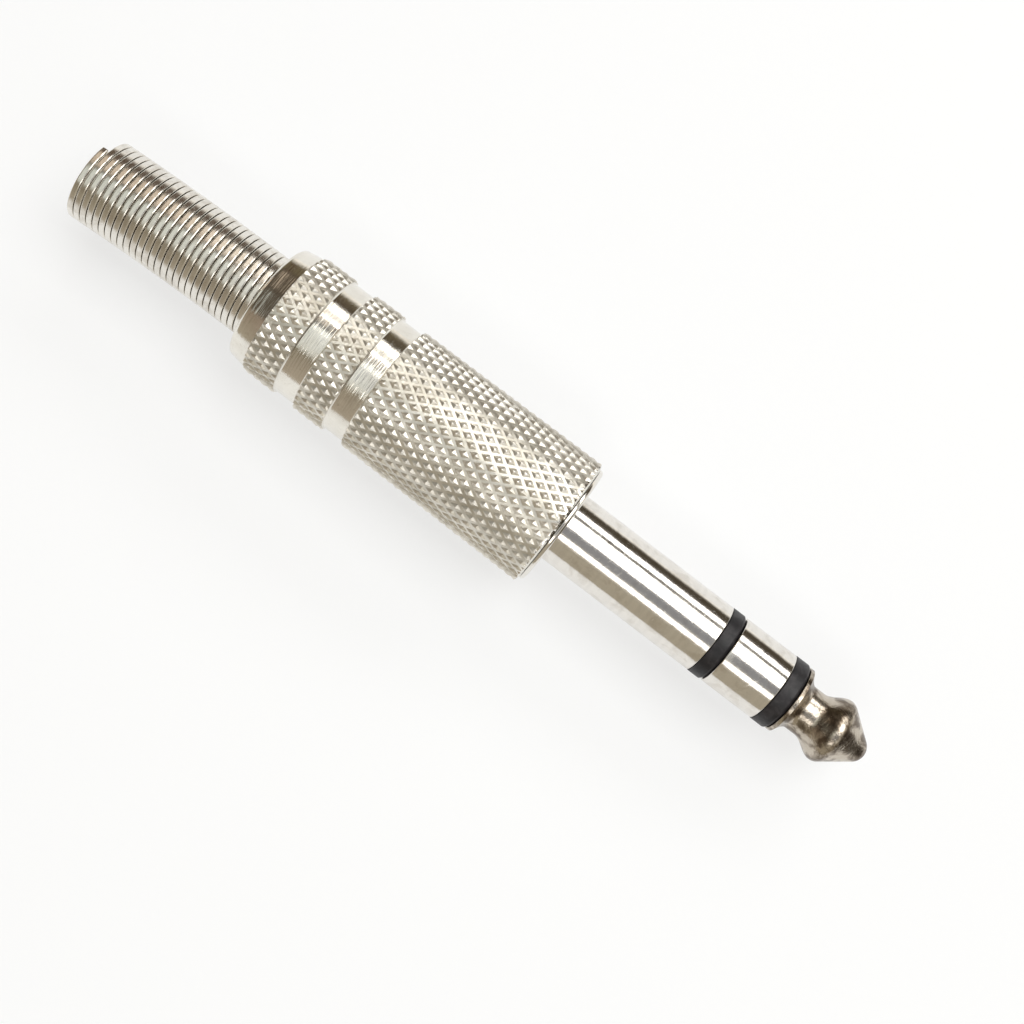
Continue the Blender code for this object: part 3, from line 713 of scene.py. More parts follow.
class JACK_OT_tip(bpy.types.Operator):
    """Turn the tip with its rod, riveted over at the back"""

    bl_idname = "jack.tip"
    bl_label = "Tip"

    def execute(self, context):
        sizes = context.scene.jack_contacts
        rivets = context.scene.jack_terminals
        base = TIP_INSULATOR_FRONT + sizes.seat
        edge = sizes.edge
        outline = [(base + station, radius) for station, radius in tip_outline(sizes)]
        outline[0] = (base + sizes.tip_length, 0.0)
        outline += arc(base + edge, sizes.collar_radius - edge, edge, math.pi / 2, math.pi, steps=4)
        rivet_front = ROD_RIVET_BACK + rivets.rod_rivet_length
        outline.append((base, sizes.rod_radius))
        outline += [(rivet_front, sizes.rod_radius), (rivet_front, rivets.rod_rivet)]
        dome = rivets.rod_rivet_length / 2
        dome_steps = 8
        for step in range(1, dome_steps):
            angle = math.pi / 2 * step / dome_steps
            station = ROD_RIVET_BACK + dome * (1 - math.sin(angle))
            outline.append((station, rivets.rod_rivet * math.cos(angle)))
        outline.append((ROD_RIVET_BACK, 0.0))
        bm = bmesh.new()
        spin_profile(bm, outline)
        merge_doubles(bm, POLE)
        piece("tip", bm, "tip_nickel_plate", "plug", "tip_nickel", "tip_contact", sharp=50.0)
        return {"FINISHED"}


class JACK_OT_ring(bpy.types.Operator):
    """Turn the ring with its tube, flared over its lug at the back"""

    bl_idname = "jack.ring"
    bl_label = "Ring"

    def execute(self, context):
        sizes = context.scene.jack_contacts
        rivets = context.scene.jack_terminals
        _, _, bore, outside, _, _ = core_radii(sizes)
        back = RING_INSULATOR_FRONT + sizes.seat
        rivet_front = RING_RIVET_BACK + rivets.ring_rivet_length
        section = [
            (RING_FRONT, bore, False),
            (RING_FRONT, sizes.shank_radius, True),
            (back, sizes.shank_radius, True),
            (back, outside, False),
            (rivet_front, outside, False),
            (rivet_front, rivets.ring_rivet, True),
            (RING_RIVET_BACK, rivets.ring_rivet, True),
            (RING_RIVET_BACK, bore, False),
        ]
        bm = turned(section, sizes.edge)
        piece("ring", bm, "contact_nickel_plate", "plug", "contact_nickel", "ring_contact")
        return {"FINISHED"}


class JACK_OT_insulators(bpy.types.Operator):
    """Mould the two black rings and the tubes that run back through the core"""

    bl_idname = "jack.insulators"
    bl_label = "Insulators"

    def execute(self, context):
        sizes = context.scene.jack_contacts
        tube_bore, tube_outside, ring_bore, _, sleeve_bore, sleeve_outside = core_radii(sizes)
        radius = sizes.shank_radius + sizes.proud
        foot = radius - sizes.insulator_chamfer
        body_bore = sleeve_outside + sizes.fit
        for name, bore, node in (
            ("insulator_tip", ring_bore, "tip_insulator"),
            ("insulator_ring", body_bore, "ring_insulator"),
        ):
            back, front = ends(node)
            section = [(back, bore, True), (front, bore, True), (front, foot, True)]
            section += [(front - sizes.insulator_chamfer, radius, True), (back, radius, True)]
            bm = turned(section, sizes.plastic_edge)
            piece(name, bm, "black_moulding", "plug", "black_plastic", node)
        for name, outside, bore, node in (
            ("tube_rod", tube_outside, tube_bore, "rod_tube"),
            ("tube_ring", sleeve_outside, sleeve_bore, "ring_tube_sleeve"),
        ):
            bm = tube(*ends(node), outside, bore, sizes.plastic_edge, CORE_SIDES)
            piece(name, bm, "white_tube", "plug", "tube_plastic", node)
        return {"FINISHED"}


def thread_height(phase):
    """Height of a thread across one pitch, from 0 at its root to 1 at its crest."""
    flat = 0.12
    wave = abs((phase % 1.0) * 2 - 1)
    return min(max((wave - flat) / (1 - 2 * flat), 0.0), 1.0)


def thread_stations(sizes, start, end):
    """Stations close enough together to show the thread between start and end."""
    return stations_between(start, end, sizes.thread_pitch / 10)


def cut_thread(bm, sizes, start, end, radius, depth):
    """Cut a thread into the turned surface at this radius: depth inwards, or outwards if negative."""
    run_out = sizes.thread_pitch / 2
    for vert in bm.verts:
        station = vert.co.x - SHOULDER
        inside = min(station - start, end - station)
        if inside <= 0 or abs(radius_of(vert.co) - radius) > SAME_PLACE:
            continue
        fade = min(inside / run_out, 1.0)
        height = thread_height(station / sizes.thread_pitch + turn_of(vert.co) / math.tau)
        set_radius(vert, radius - depth * fade * (1 - height))


class JACK_OT_body(bpy.types.Operator):
    """Turn the body: sleeve shank, flange and threaded boss"""

    bl_idname = "jack.body"
    bl_label = "Body"

    def execute(self, context):
        sizes = context.scene.jack_contacts
        thread = context.scene.jack_shell
        shank, edge, fillet = sizes.shank_radius, sizes.edge, sizes.shank_fillet
        bore = core_radii(sizes)[-1] + sizes.fit
        outline = [(SLEEVE_FRONT, bore), (SLEEVE_FRONT, shank - edge)]
        outline += arc(SLEEVE_FRONT - edge, shank - edge, edge, 0.0, math.pi / 2, steps=4)[1:]
        outline += arc(fillet, shank + fillet, fillet, 1.5 * math.pi, math.pi, steps=3)
        outline.append((0.0, sizes.flange_face))
        fall = 0.02 * MM
        rim, top = sizes.flange_rim, sizes.flange_radius
        outline += arc(-fall - rim, top - rim, rim, 0.0, math.pi / 2, steps=8)
        back, rim = -sizes.flange_thickness, sizes.flange_back_rim
        outline += arc(back + rim, top - rim, rim, math.pi / 2, math.pi, steps=4)
        outline.append((back, sizes.boss_radius - thread.thread_depth))
        thread_front = back - sizes.thread_relief
        thread_back = BOSS_BACK + sizes.boss_chamfer
        stations = thread_stations(thread, thread_front, thread_back)
        outline += [(station, sizes.boss_radius) for station in stations]
        outline += [(BOSS_BACK, sizes.boss_radius - sizes.boss_chamfer), (BOSS_BACK, bore)]
        bm = bmesh.new()
        spin_profile(bm, outline + outline[:1])
        merge_doubles(bm, POLE)
        cut_thread(bm, thread, thread_back, thread_front, sizes.boss_radius, thread.thread_depth)
        piece("body", bm, "contact_nickel_plate", "plug", "contact_nickel", "plug_body")
        return {"FINISHED"}


# Terminals


def lug_mesh(sizes, front, bore, side, tab_end):
    """A solder lug: a disc with a hole, and a tab that reaches out and turns back to a round end."""
    half_width = sizes.lug_width / 2
    bm = bmesh.new()
    spin_profile(bm, [(front, bore), (front, sizes.lug_radius)], sides=48)
    rim = [
        edge
        for edge in bm.edges
        if all(abs(radius_of(vert.co) - sizes.lug_radius) < SAME_PLACE for vert in edge.verts)
        and all(abs(vert.co.z - AXIS_HEIGHT) < half_width for vert in edge.verts)
        and edge.verts[0].co.y * side > 0
    ]
    turn_radius = sizes.lug_bend + sizes.lug_sheet
    straight = side * (sizes.lug_reach - turn_radius)
    grown = bmesh.ops.extrude_edge_only(bm, edges=rim)["geom"]
    for vert in only(bmesh.types.BMVert, grown):
        vert.co.y = straight
    bent = bmesh.ops.spin(
        bm,
        geom=only(bmesh.types.BMVert, grown) + only(bmesh.types.BMEdge, grown),
        axis=(0.0, 0.0, 1.0),
        cent=(SHOULDER + front - turn_radius, straight, AXIS_HEIGHT),
        angle=side * math.pi / 2,
        steps=6,
    )["geom_last"]
    last = only(bmesh.types.BMEdge, bent)
    stretch, end_steps, narrowest = 0.8 * MM, 6, 0.12
    stations = stations_between(front - turn_radius, tab_end + half_width, stretch)[1:]
    for step in range(1, end_steps + 1):
        stations.append(tab_end + half_width * (1 - math.sin(math.pi / 2 * step / end_steps)))
    for station in stations:
        into = max(tab_end + half_width - station, 0.0) / half_width
        share = max(math.sqrt(max(1 - into * into, 0.0)), narrowest)
        heights = [vert.co.z for edge in last for vert in edge.verts]
        widening = sizes.lug_width * share / (max(heights) - min(heights))
        grown = bmesh.ops.extrude_edge_only(bm, edges=last)["geom"]
        for vert in only(bmesh.types.BMVert, grown):
            vert.co.x = SHOULDER + station
            vert.co.z = AXIS_HEIGHT + (vert.co.z - AXIS_HEIGHT) * widening
        last = only(bmesh.types.BMEdge, grown)
    merge_doubles(bm)
    bmesh.ops.recalc_face_normals(bm, faces=bm.faces[:])
    if max(bm.faces, key=lambda face: face.calc_area()).normal.x < 0:
        bmesh.ops.reverse_faces(bm, faces=bm.faces[:])
    bmesh.ops.solidify(bm, geom=bm.faces[:], thickness=sizes.lug_sheet)
    return bm


class JACK_OT_lugs(bpy.types.Operator):
    """Stamp the two solder lugs"""

    bl_idname = "jack.lugs"
    bl_label = "Solder lugs"

    def execute(self, context):
        sizes = context.scene.jack_terminals
        tube_bore, _, _, _, sleeve_bore, _ = core_radii(context.scene.jack_contacts)
        for name, bore, side, node in (
            ("lug_ring", sleeve_bore, 1, "ring_lug"),
            ("lug_tip", tube_bore, -1, "tip_lug"),
        ):
            back, front = ends(node)
            bm = lug_mesh(sizes, front, bore, side, back)
            piece(name, bm, "tinned_sheet", "plug", "tinned_brass", node, sharp=40.0)
        return {"FINISHED"}


class JACK_OT_washers(bpy.types.Operator):
    """Cut the two brown washers"""

    bl_idname = "jack.washers"
    bl_label = "Washers"

    def execute(self, context):
        sizes = context.scene.jack_terminals
        tube_bore, _, _, _, sleeve_bore, _ = core_radii(context.scene.jack_contacts)
        for name, bore, node in (
            ("washer_ring", sleeve_bore, "ring_lug_washer"),
            ("washer_tip", tube_bore, "tip_lug_washer"),
        ):
            bm = tube(*ends(node), sizes.washer_radius, bore, sizes.cut_edge)
            piece(name, bm, "brown_laminate", "plug", "brown_board", node)
        return {"FINISHED"}


# Angle on the rolled tag that its strip and fingers are counted in
TAG_STEP = math.radians(22.5)


def tag_outline(sizes):
    """The tag's stretches along the axis: front, back, and the angles between which each one lies."""
    strip_back = TAG_FRONT - sizes.strip
    left_back = strip_back - sizes.finger
    right_front = left_back - sizes.finger_gap
    return [
        (TAG_FRONT, strip_back, -TAG_STEP, TAG_STEP),
        (strip_back, left_back, -5 * TAG_STEP, 3 * TAG_STEP),
        (left_back, right_front, -3 * TAG_STEP, 3 * TAG_STEP),
        (right_front, TAG_BACK, -3 * TAG_STEP, 5 * TAG_STEP),
    ]


class JACK_OT_ground_tag(bpy.types.Operator):
    """Stamp and fold the ground tag: eyelet, strip and cable clamp"""

    bl_idname = "jack.ground_tag"
    bl_label = "Ground tag"

    def execute(self, context):
        sizes = context.scene.jack_terminals
        contacts = context.scene.jack_contacts
        inner = contacts.boss_radius - sizes.liner_wall - sizes.tag_play - sizes.sheet
        bore = core_radii(contacts)[-1] + contacts.fit
        cell = TAG_STEP / 4
        stretch, touching = 0.9 * MM, 0.02 * MM
        bm = bmesh.new()
        disc = [bm.verts.new(place(TAG_FRONT, radius, math.pi)) for radius in (bore, inner)]
        full_turn(bm, disc + [bm.edges.new(disc)], round(math.tau / cell))
        for front, back, low, high in tag_outline(sizes):
            stations = stations_between(front, back, stretch)
            for pair in zip(stations, stations[1:]):
                edge = [bm.verts.new(place(station, inner, math.pi + low)) for station in pair]
                bmesh.ops.spin(
                    bm,
                    geom=edge + [bm.edges.new(edge)],
                    axis=ALONG,
                    cent=ON_AXIS,
                    angle=high - low,
                    steps=round((high - low) / cell),
                )
        merge_doubles(bm, touching)
        bmesh.ops.recalc_face_normals(bm, faces=bm.faces[:])
        bmesh.ops.solidify(bm, geom=bm.faces[:], thickness=sizes.sheet)
        piece("tag", bm, "tinned_sheet", "plug", "tinned_brass", "ground_tag", sharp=40.0)
        return {"FINISHED"}


class JACK_OT_liner(bpy.types.Operator):
    """Cut the insulating tube inside the shell"""

    bl_idname = "jack.liner"
    bl_label = "Liner"

    def execute(self, context):
        sizes = context.scene.jack_terminals
        radius = context.scene.jack_contacts.boss_radius
        bm = tube(*ends("shell_liner"), radius, radius - sizes.liner_wall, sizes.cut_edge)
        piece("liner_tube", bm, "white_tube", "liner", "tube_plastic", "shell_liner")
        return {"FINISHED"}


# Spring


def coil_outline(bm, sizes, station, turn):
    """The open outline of the wire at a station, turned so far round the axis."""
    half = sizes.width / 2
    flat = half - 1.25 * sizes.corner
    inside = sizes.radius - sizes.height
    points = [(station + side * half, sizes.radius, True) for side in (-1, 1)]
    points[1:1] = [(station + side * flat, sizes.radius, False) for side in (-1, 1)]
    points += [(station + side * half, inside, True) for side in (1, -1)]
    outline = rounded_outline(bm, points, sizes.corner)
    bmesh.ops.rotate(bm, verts=bm.verts[:], cent=ON_AXIS, matrix=Matrix.Rotation(turn, 3, "X"))
    return outline


def wind(bm, outline, pitch, turns, steps):
    """Wind the wire's outline on by so many turns, backwards if negative, and return its last place."""
    return bmesh.ops.spin(
        bm,
        geom=outline,
        axis=ALONG,
        cent=ON_AXIS,
        dvec=(pitch * turns / steps, 0.0, 0.0),
        angle=math.tau * turns,
        steps=steps,
    )["geom_last"]


class JACK_OT_spring(bpy.types.Operator):
    """Wind the flat-wire spring, flared inside the shell's lip"""

    bl_idname = "jack.spring"
    bl_label = "Spring"

    def execute(self, context):
        sizes = context.scene.jack_spring
        pitch = sizes.width + sizes.gap
        back = SPRING_BACK - sizes.reach
        turns = (SPRING_FRONT - back - sizes.width) / pitch
        wide_turns = sizes.flare_turns + sizes.held_turns
        whole = math.floor(turns - wide_turns)
        part = turns - wide_turns - whole
        first = back + sizes.width / 2
        start = sizes.end_angle - math.pi / 2
        bm = bmesh.new()
        outline = coil_outline(bm, sizes, first + whole * pitch, start)
        wind(bm, outline, pitch, -1, sizes.steps)
        one_turn = bm.verts[:] + bm.edges[:] + bm.faces[:]
        last = wind(bm, outline, pitch, part, max(1, round(part * sizes.steps)))
        flare_steps = round(wide_turns * sizes.steps)
        one_step = wide_turns / flare_steps
        reached = sizes.radius
        for step in range(1, flare_steps + 1):
            share = min(step * one_step / sizes.flare_turns, 1.0)
            wanted = sizes.radius + (sizes.held_radius - sizes.radius) * share
            last = wind(bm, last, pitch, one_step, 1)
            for vert in only(bmesh.types.BMVert, last):
                set_radius(vert, radius_of(vert.co) + wanted - reached)
            reached = wanted
        for number in range(1, whole):
            copied = bmesh.ops.duplicate(bm, geom=one_turn)["geom"]
            moved = only(bmesh.types.BMVert, copied)
            bmesh.ops.translate(bm, verts=moved, vec=(-pitch * number, 0.0, 0.0))
        merge_doubles(bm)
        bmesh.ops.holes_fill(bm, edges=[edge for edge in bm.edges if edge.is_boundary])
        bend_from = SHELL_BACK - context.scene.jack_shell.reach
        for vert in bm.verts:
            past = max(bend_from - (vert.co.x - SHOULDER), 0.0) / (bend_from - back)
            vert.co.y -= sizes.droop * past * past
        body, slot, node = "strain_relief", "spring_steel", "strain_relief_spring"
        piece("spring", bm, "spring_nickel_plate", body, slot, node, sharp=60.0)
        return {"FINISHED"}


# Shell

DEPTH_LAYER = "cut_depth"
KNURL_LAYER = "knurled"


class Knurl:
    """Where the two knurling wheels cut: each cell between their cuts is one diamond point."""

    def __init__(self, sizes, start, end):
        self.sizes = sizes
        self.start = start
        self.end = end
        self.spread = sizes.rows_two / sizes.pitch_one + sizes.rows_one / sizes.pitch_two

    def crest(self, station):
        """Radius over the points, which tapers from front to back."""
        share = (station - self.start) / (self.end - self.start)
        return self.sizes.front_radius + (self.sizes.rear_radius - self.sizes.front_radius) * share

    def turn_and_reach(self, u, v):
        """Share of a turn and distance back from the front, for counts u and v of the two wheels' cuts."""
        sizes = self.sizes
        reach = (sizes.rows_two * u - sizes.rows_one * v) / self.spread
        return (u / sizes.pitch_two + v / sizes.pitch_one) / self.spread, reach


# Widths of a cell's steps from a cut to its point, as shares of the cell: floor, flank, flank, crown
CELL_STEPS = (0.14, 0.15, 0.15, 0.04)
CUT_FLOOR = CELL_STEPS[0]
SHOULDER_WIDTH = sum(CELL_STEPS[:3])

# The flanks' power over a straight slope, and how far a point's crown stands above them, as a share
FLANK_POWER = 0.85
CROWN_RISE = 0.05


def knurl_height(distance):
    """Height of a point's flank so far from the nearest cut, in cells: 0 at the cut, 1 on top."""
    share = min(max((distance - CUT_FLOOR) / (SHOULDER_WIDTH - CUT_FLOOR), 0.0), 1.0)
    crown = CROWN_RISE * max(distance - SHOULDER_WIDTH, 0.0) / (0.5 - SHOULDER_WIDTH)
    return share ** FLANK_POWER + crown


def added_since(bm, known):
    """The corners that the mesh didn't have before."""
    return [vert for vert in bm.verts if vert not in known]


def knurled_band(bm, knurl, front, back):
    """Add one knurled band between two stations, and return its open ends as (edges, station)."""
    sizes = knurl.sizes
    ahead = (knurl.start - front) - 2 * sizes.pitch_one
    behind = (knurl.start - back) + 2 * sizes.pitch_one
    low = math.floor(-behind * knurl.spread / sizes.rows_one) - 1
    high = math.ceil(sizes.rows_two - ahead * knurl.spread / sizes.rows_one) + 1
    known = set(bm.verts)
    bmesh.ops.create_grid(
        bm,
        x_segments=sizes.rows_one,
        y_segments=high - low,
        size=0.5,
        matrix=Matrix.Translation((0.5, 0.5, 0.0)),
    )
    grid = added_since(bm, known)
    for vert in grid:
        vert.co.x = round(vert.co.x * sizes.rows_one)
        vert.co.y = low + round(vert.co.y * (high - low))
    faces = {face for vert in grid for face in vert.link_faces}
    outside = []
    for face in faces:
        reaches = [knurl.turn_and_reach(vert.co.x, vert.co.y)[1] for vert in face.verts]
        if max(reaches) < knurl.start - front or min(reaches) > knurl.start - back:
            outside.append(face)
    bmesh.ops.delete(bm, geom=outside, context="FACES")
    cells = [face for face in faces if face.is_valid]
    for width in CELL_STEPS:
        bmesh.ops.inset_individual(bm, faces=cells, thickness=width, use_even_offset=True)
    shape_knurl(knurl, added_since(bm, known))
    bmesh.ops.remove_doubles(bm, verts=added_since(bm, known), dist=IN_PLANE)
    for station, side in ((front, 1), (back, -1)):
        corners = added_since(bm, known)
        edges = {edge for vert in corners for edge in vert.link_edges}
        faces = {face for vert in corners for face in vert.link_faces}
        bmesh.ops.bisect_plane(
            bm,
            geom=[*corners, *edges, *faces],
            dist=SAME_PLACE,
            plane_co=(SHOULDER + station, 0.0, 0.0),
            plane_no=(side, 0.0, 0.0),
            clear_outer=True,
        )
    return [(open_ring(bm, station), station) for station in (front, back)]


def shape_knurl(knurl, verts):
    """Wrap the flat cells round the shell and raise their points."""
    sizes = knurl.sizes
    variety, layer = 0.73, 3.1
    for vert in verts:
        u, v = vert.co.x, vert.co.y
        cell_u, cell_v = math.floor(u), math.floor(v)
        distance = min(u - cell_u, cell_u + 1 - u, v - cell_v, cell_v + 1 - v)
        share, reach = knurl.turn_and_reach(u, v)
        station = knurl.start - reach
        seam_u, seam_v = (cell_u, cell_v) if cell_u < sizes.rows_one else (0, cell_v - sizes.rows_two)
        spot = Vector((seam_u * variety, seam_v * variety, layer))
        uneven = noise.noise(spot) * sizes.unevenness
        height = knurl_height(distance)
        radius = knurl.crest(station) - sizes.depth * (1 - height) + uneven * height
        vert.co = place(station, min(radius, knurl.crest(station)), math.tau * share)


def open_ring(bm, station):
    """The open edges that lie in the plane at a station."""
    return [
        edge
        for edge in bm.edges
        if edge.is_boundary and all(abs(vert.co.x - SHOULDER - station) < IN_PLANE for vert in edge.verts)
    ]


def ring_edges(bm, station, radius):
    """The open edges of the ring with this radius at a station."""
    return [
        edge
        for edge in open_ring(bm, station)
        if all(abs(radius_of(vert.co) - radius) < IN_PLANE for vert in edge.verts)
    ]


def wall_to(bm, edges, radius, station):
    """Draw open edges in or out to a plain ring, and return that ring's edges."""
    grown = bmesh.ops.extrude_edge_only(bm, edges=edges)["geom"]
    for vert in only(bmesh.types.BMVert, grown):
        set_radius(vert, radius)
        vert.co.x = SHOULDER + station
    return [edge for edge in only(bmesh.types.BMEdge, grown) if edge.is_boundary]


def groove_between(bm, ahead, behind, radius, chamfer):
    """Join the open ends of two knurled bands with a plain groove, its corners chamfered."""
    rings = []
    for (edges, station), side in ((ahead, -1), (behind, 1)):
        foot = wall_to(bm, edges, radius + chamfer, station)
        rings += wall_to(bm, foot, radius, station + side * chamfer)
    bmesh.ops.bridge_loops(bm, edges=rings)


def mark_depth(bm, knurl):
    """Note on each corner whether it is knurled, and how deep in a cut it lies, from 0 to 1 at the bottom."""
    depth = bm.verts.layers.float.new(DEPTH_LAYER)
    knurled = bm.verts.layers.float.new(KNURL_LAYER)
    above_groove = 0.02 * MM
    lowest = knurl.sizes.groove_radius + above_groove
    for vert in bm.verts:
        station = vert.co.x - SHOULDER
        radius = radius_of(vert.co)
        if knurl.end <= station <= knurl.start and radius > lowest:
            deep = (knurl.crest(station) - radius) / knurl.sizes.depth
            vert[depth] = min(max(deep, 0.0), 1.0)
            vert[knurled] = 1.0


class JACK_OT_shell(bpy.types.Operator):
    """Turn and knurl the shell: three knurled bands, two grooves, a plain rear band and a threaded bore"""

    bl_idname = "jack.shell"
    bl_label = "Shell"

    def execute(self, context):
        sizes = context.scene.jack_shell
        front = SHELL_FRONT - sizes.chamfer
        front_end = front - sizes.front_knurl
        middle = front_end - sizes.groove
        middle_end = middle - sizes.middle_knurl
        rear = middle_end - sizes.groove
        rear_end = rear - sizes.rear_knurl
        knurl = Knurl(sizes, front, rear_end)
        bm = bmesh.new()
        rings = knurled_band(bm, knurl, front, front_end)
        rings += knurled_band(bm, knurl, middle, middle_end)
        rings += knurled_band(bm, knurl, rear, rear_end)
        (front_edges, _), *groove_rings, (rear_edges, _) = rings
        groove_between(bm, *groove_rings[:2], sizes.groove_radius, sizes.groove_chamfer)
        groove_between(bm, *groove_rings[2:], sizes.groove_radius, sizes.groove_chamfer)
        face_radius = sizes.front_radius - sizes.depth - sizes.chamfer
        face = wall_to(bm, front_edges, face_radius, SHELL_FRONT)
        band = wall_to(bm, rear_edges, sizes.band_radius, rear_end)
        back = SHELL_BACK - sizes.reach
        lip_front = back + sizes.lip
        edge = sizes.edge_round
        ease, fall = 0.08 * MM, 0.018 * MM
        outside = [(rear_end - ease, sizes.band_radius - fall)]
        outside += arc(back + edge, sizes.edge_radius - edge, edge, math.pi / 2, math.pi, steps=6)
        inside = [
            (back, sizes.spring_hole + sizes.hole_chamfer),
            (back + sizes.hole_chamfer, sizes.spring_hole),
            (lip_front - sizes.hole_chamfer, sizes.spring_hole),
            (lip_front, sizes.spring_hole + sizes.hole_chamfer),
            (lip_front, sizes.bore),
        ]
        thread = (BOSS_BACK - sizes.thread_over, SHELL_FRONT - sizes.lead_in)
        inside += [(station, sizes.bore) for station in thread_stations(sizes, *thread)]
        inside.append((SHELL_FRONT, sizes.bore + sizes.lead_in))
        spin_profile(bm, outside + inside)
        cut_thread(bm, sizes, *thread, sizes.bore, -sizes.thread_depth)
        bmesh.ops.bridge_loops(bm, edges=band + ring_edges(bm, *outside[0]))
        bmesh.ops.bridge_loops(bm, edges=face + ring_edges(bm, *inside[-1]))
        mark_depth(bm, knurl)
        piece("barrel", bm, "shell_nickel_plate", "shell", "shell_nickel", "shell", sharp=28.0)
        return {"FINISHED"}


# Stage


def floor_material(stage):
    """White paper that is seen partly as plain white, also in the metal, so that its shadows stay pale."""
    tree, shader, where = new_material("floor_paper", metallic=0.0, roughness=0.6, specular=0.2)
    patches = use_group(tree, "Blotches", Vector=where, Scale=60.0, From=0.3, To=0.8)
    share = product(tree, patches["Mask"], 0.01)
    paper = mix_color(tree, share, color4(stage.floor), color4(stage.floor, 0.95))
    tree.links.new(paper, shader["Base Color"])
    white = add_node(tree, "ShaderNodeEmission", inputs={"Color": WHITE, "Strength": 1.0}).outputs[0]
    ray = add_node(tree, "ShaderNodeLightPath").outputs
    seen = math_node(tree, "MAXIMUM", ray["Is Camera Ray"], ray["Is Glossy Ray"])
    lit = tree.nodes["Principled BSDF"].outputs[0]
    inputs = {0: product(tree, seen, stage.floor_glow), 1: lit, 2: white}
    both = add_node(tree, "ShaderNodeMixShader", inputs=inputs).outputs[0]
    tree.links.new(both, tree.nodes["Material Output"].inputs["Surface"])


def floor_piece(name, left, right, near, far):
    """A flat piece of floor under the plug."""
    bm = bmesh.new()
    middle = Matrix.Translation(((left + right) / 2, (near + far) / 2, 0.0))
    stretched = middle @ Matrix.Diagonal((right - left, far - near, 1.0, 1.0))
    bmesh.ops.create_grid(bm, x_segments=1, y_segments=1, size=0.5, matrix=stretched)
    obj = new_object(name, bm, bpy.data.materials["floor_paper"])
    return obj


def softbox(name, leans, reach, span, radiance):
    """A strip light along the plug: its two leans from straight up towards +Y, in degrees, and its X span."""
    lean_from, lean_to = (math.radians(lean) for lean in leans)
    middle = (lean_from + lean_to) / 2
    light = bpy.data.lights.new(name, "AREA")
    light.shape = "RECTANGLE"
    light.size = span[1] - span[0]
    light.size_y = 2 * reach * math.tan((lean_to - lean_from) / 2)
    light.energy = radiance * math.pi * light.size * light.size_y
    obj = bpy.data.objects.new(name, light)
    bpy.context.scene.collection.objects.link(obj)
    up = Vector((0.0, math.sin(middle), math.cos(middle)))
    across = Vector((0.0, math.cos(middle), -math.sin(middle)))
    stands = ON_AXIS + reach * up + Vector(((span[0] + span[1]) / 2, 0.0, 0.0))
    turn = Matrix((ALONG, across, up)).transposed().to_4x4()
    obj.matrix_world = Matrix.Translation(stands) @ turn


WHITE = (1.0, 1.0, 1.0, 1.0)
PALE = (1.12, 1.08, 1.0)
BROWN = (0.065, 0.05, 0.032)
TAUPE = (0.43, 0.385, 0.30)
OLIVE = (0.20, 0.17, 0.115)
GREY = (0.29, 0.29, 0.30)
BRIGHT = (1.6, 1.56, 1.45)

# The room's tones, each by one or two leans round the plug's axis from straight up towards +Y, in degrees
SHANK_ROOM = (
    (-180, -106, PALE),
    (-98, -42, TAUPE),
    (-36, -22, (0.55, 0.52, 0.45)),
    (-20, 7, GREY),
    (9, 39, BRIGHT),
    (40, 52, (0.10, 0.09, 0.07)),
    (53, 64, BRIGHT),
    (66, 92, BROWN),
    (99, 180, PALE),
)
GROOVE_ROOM = (
    (-180, -106, PALE),
    (-100, (0.48, 0.41, 0.33)),
    (-40, (0.33, 0.28, 0.22)),
    (-36, OLIVE),
    (-20, (0.95, 0.96, 0.93)),
    (16, (1.15, 1.16, 1.14)),
    (20, (0.13, 0.13, 0.13)),
    (33, (0.15, 0.15, 0.15)),
    (36, 66, BRIGHT),
    (70, (0.08, 0.06, 0.04)),
    (94, (0.16, 0.13, 0.08)),
    (101, 180, PALE),
)
SPRING_ROOM = (
    (-180, -95, (0.9, 0.88, 0.82)),
    (-85, (0.40, 0.35, 0.27)),
    (-36, (0.20, 0.17, 0.11)),
    (-31, (0.78, 0.80, 0.74)),
    (15, (0.72, 0.76, 0.70)),
    (17, 23, (0.08, 0.07, 0.05)),
    (25, (0.80, 0.66, 0.52)),
    (60, (0.74, 0.60, 0.46)),
    (64, (0.08, 0.05, 0.035)),
    (90, (0.10, 0.065, 0.045)),
    (99, 180, PALE),
)
END_ROOM = (
    (-180, -110, PALE),
    (-98, TAUPE),
    (-38, (0.33, 0.26, 0.20)),
    (-28, 68, (0.10, 0.08, 0.06)),
    (76, 98, (0.18, 0.15, 0.09)),
    (110, 180, PALE),
)
FRONT_ROOM = (
    (-180, -110, PALE),
    (-98, TAUPE),
    (-38, (0.33, 0.28, 0.22)),
    (-28, 98, (0.80, 0.77, 0.70)),
    (110, 180, PALE),
)
FAR_ROOM = ((-180, 180, BROWN),)


def lean_colors(tree, share, bands):
    """Colours by lean, where share runs from 0 to 1 for -180 to 180 degrees."""
    colors = add_node(tree, "ShaderNodeValToRGB", inputs={0: share})
    stops = colors.color_ramp.elements
    stops[0].position, stops[1].position = 0.0, 1.0
    stops[0].color, stops[1].color = color4(bands[0][-1]), color4(bands[-1][-1])
    leaning = [(lean, color) for *leans, color in bands for lean in leans]
    for lean, color in leaning[1:-1]:
        stops.new(lean / 360.0 + 0.5).color = color4(color)
    return colors.outputs[0]


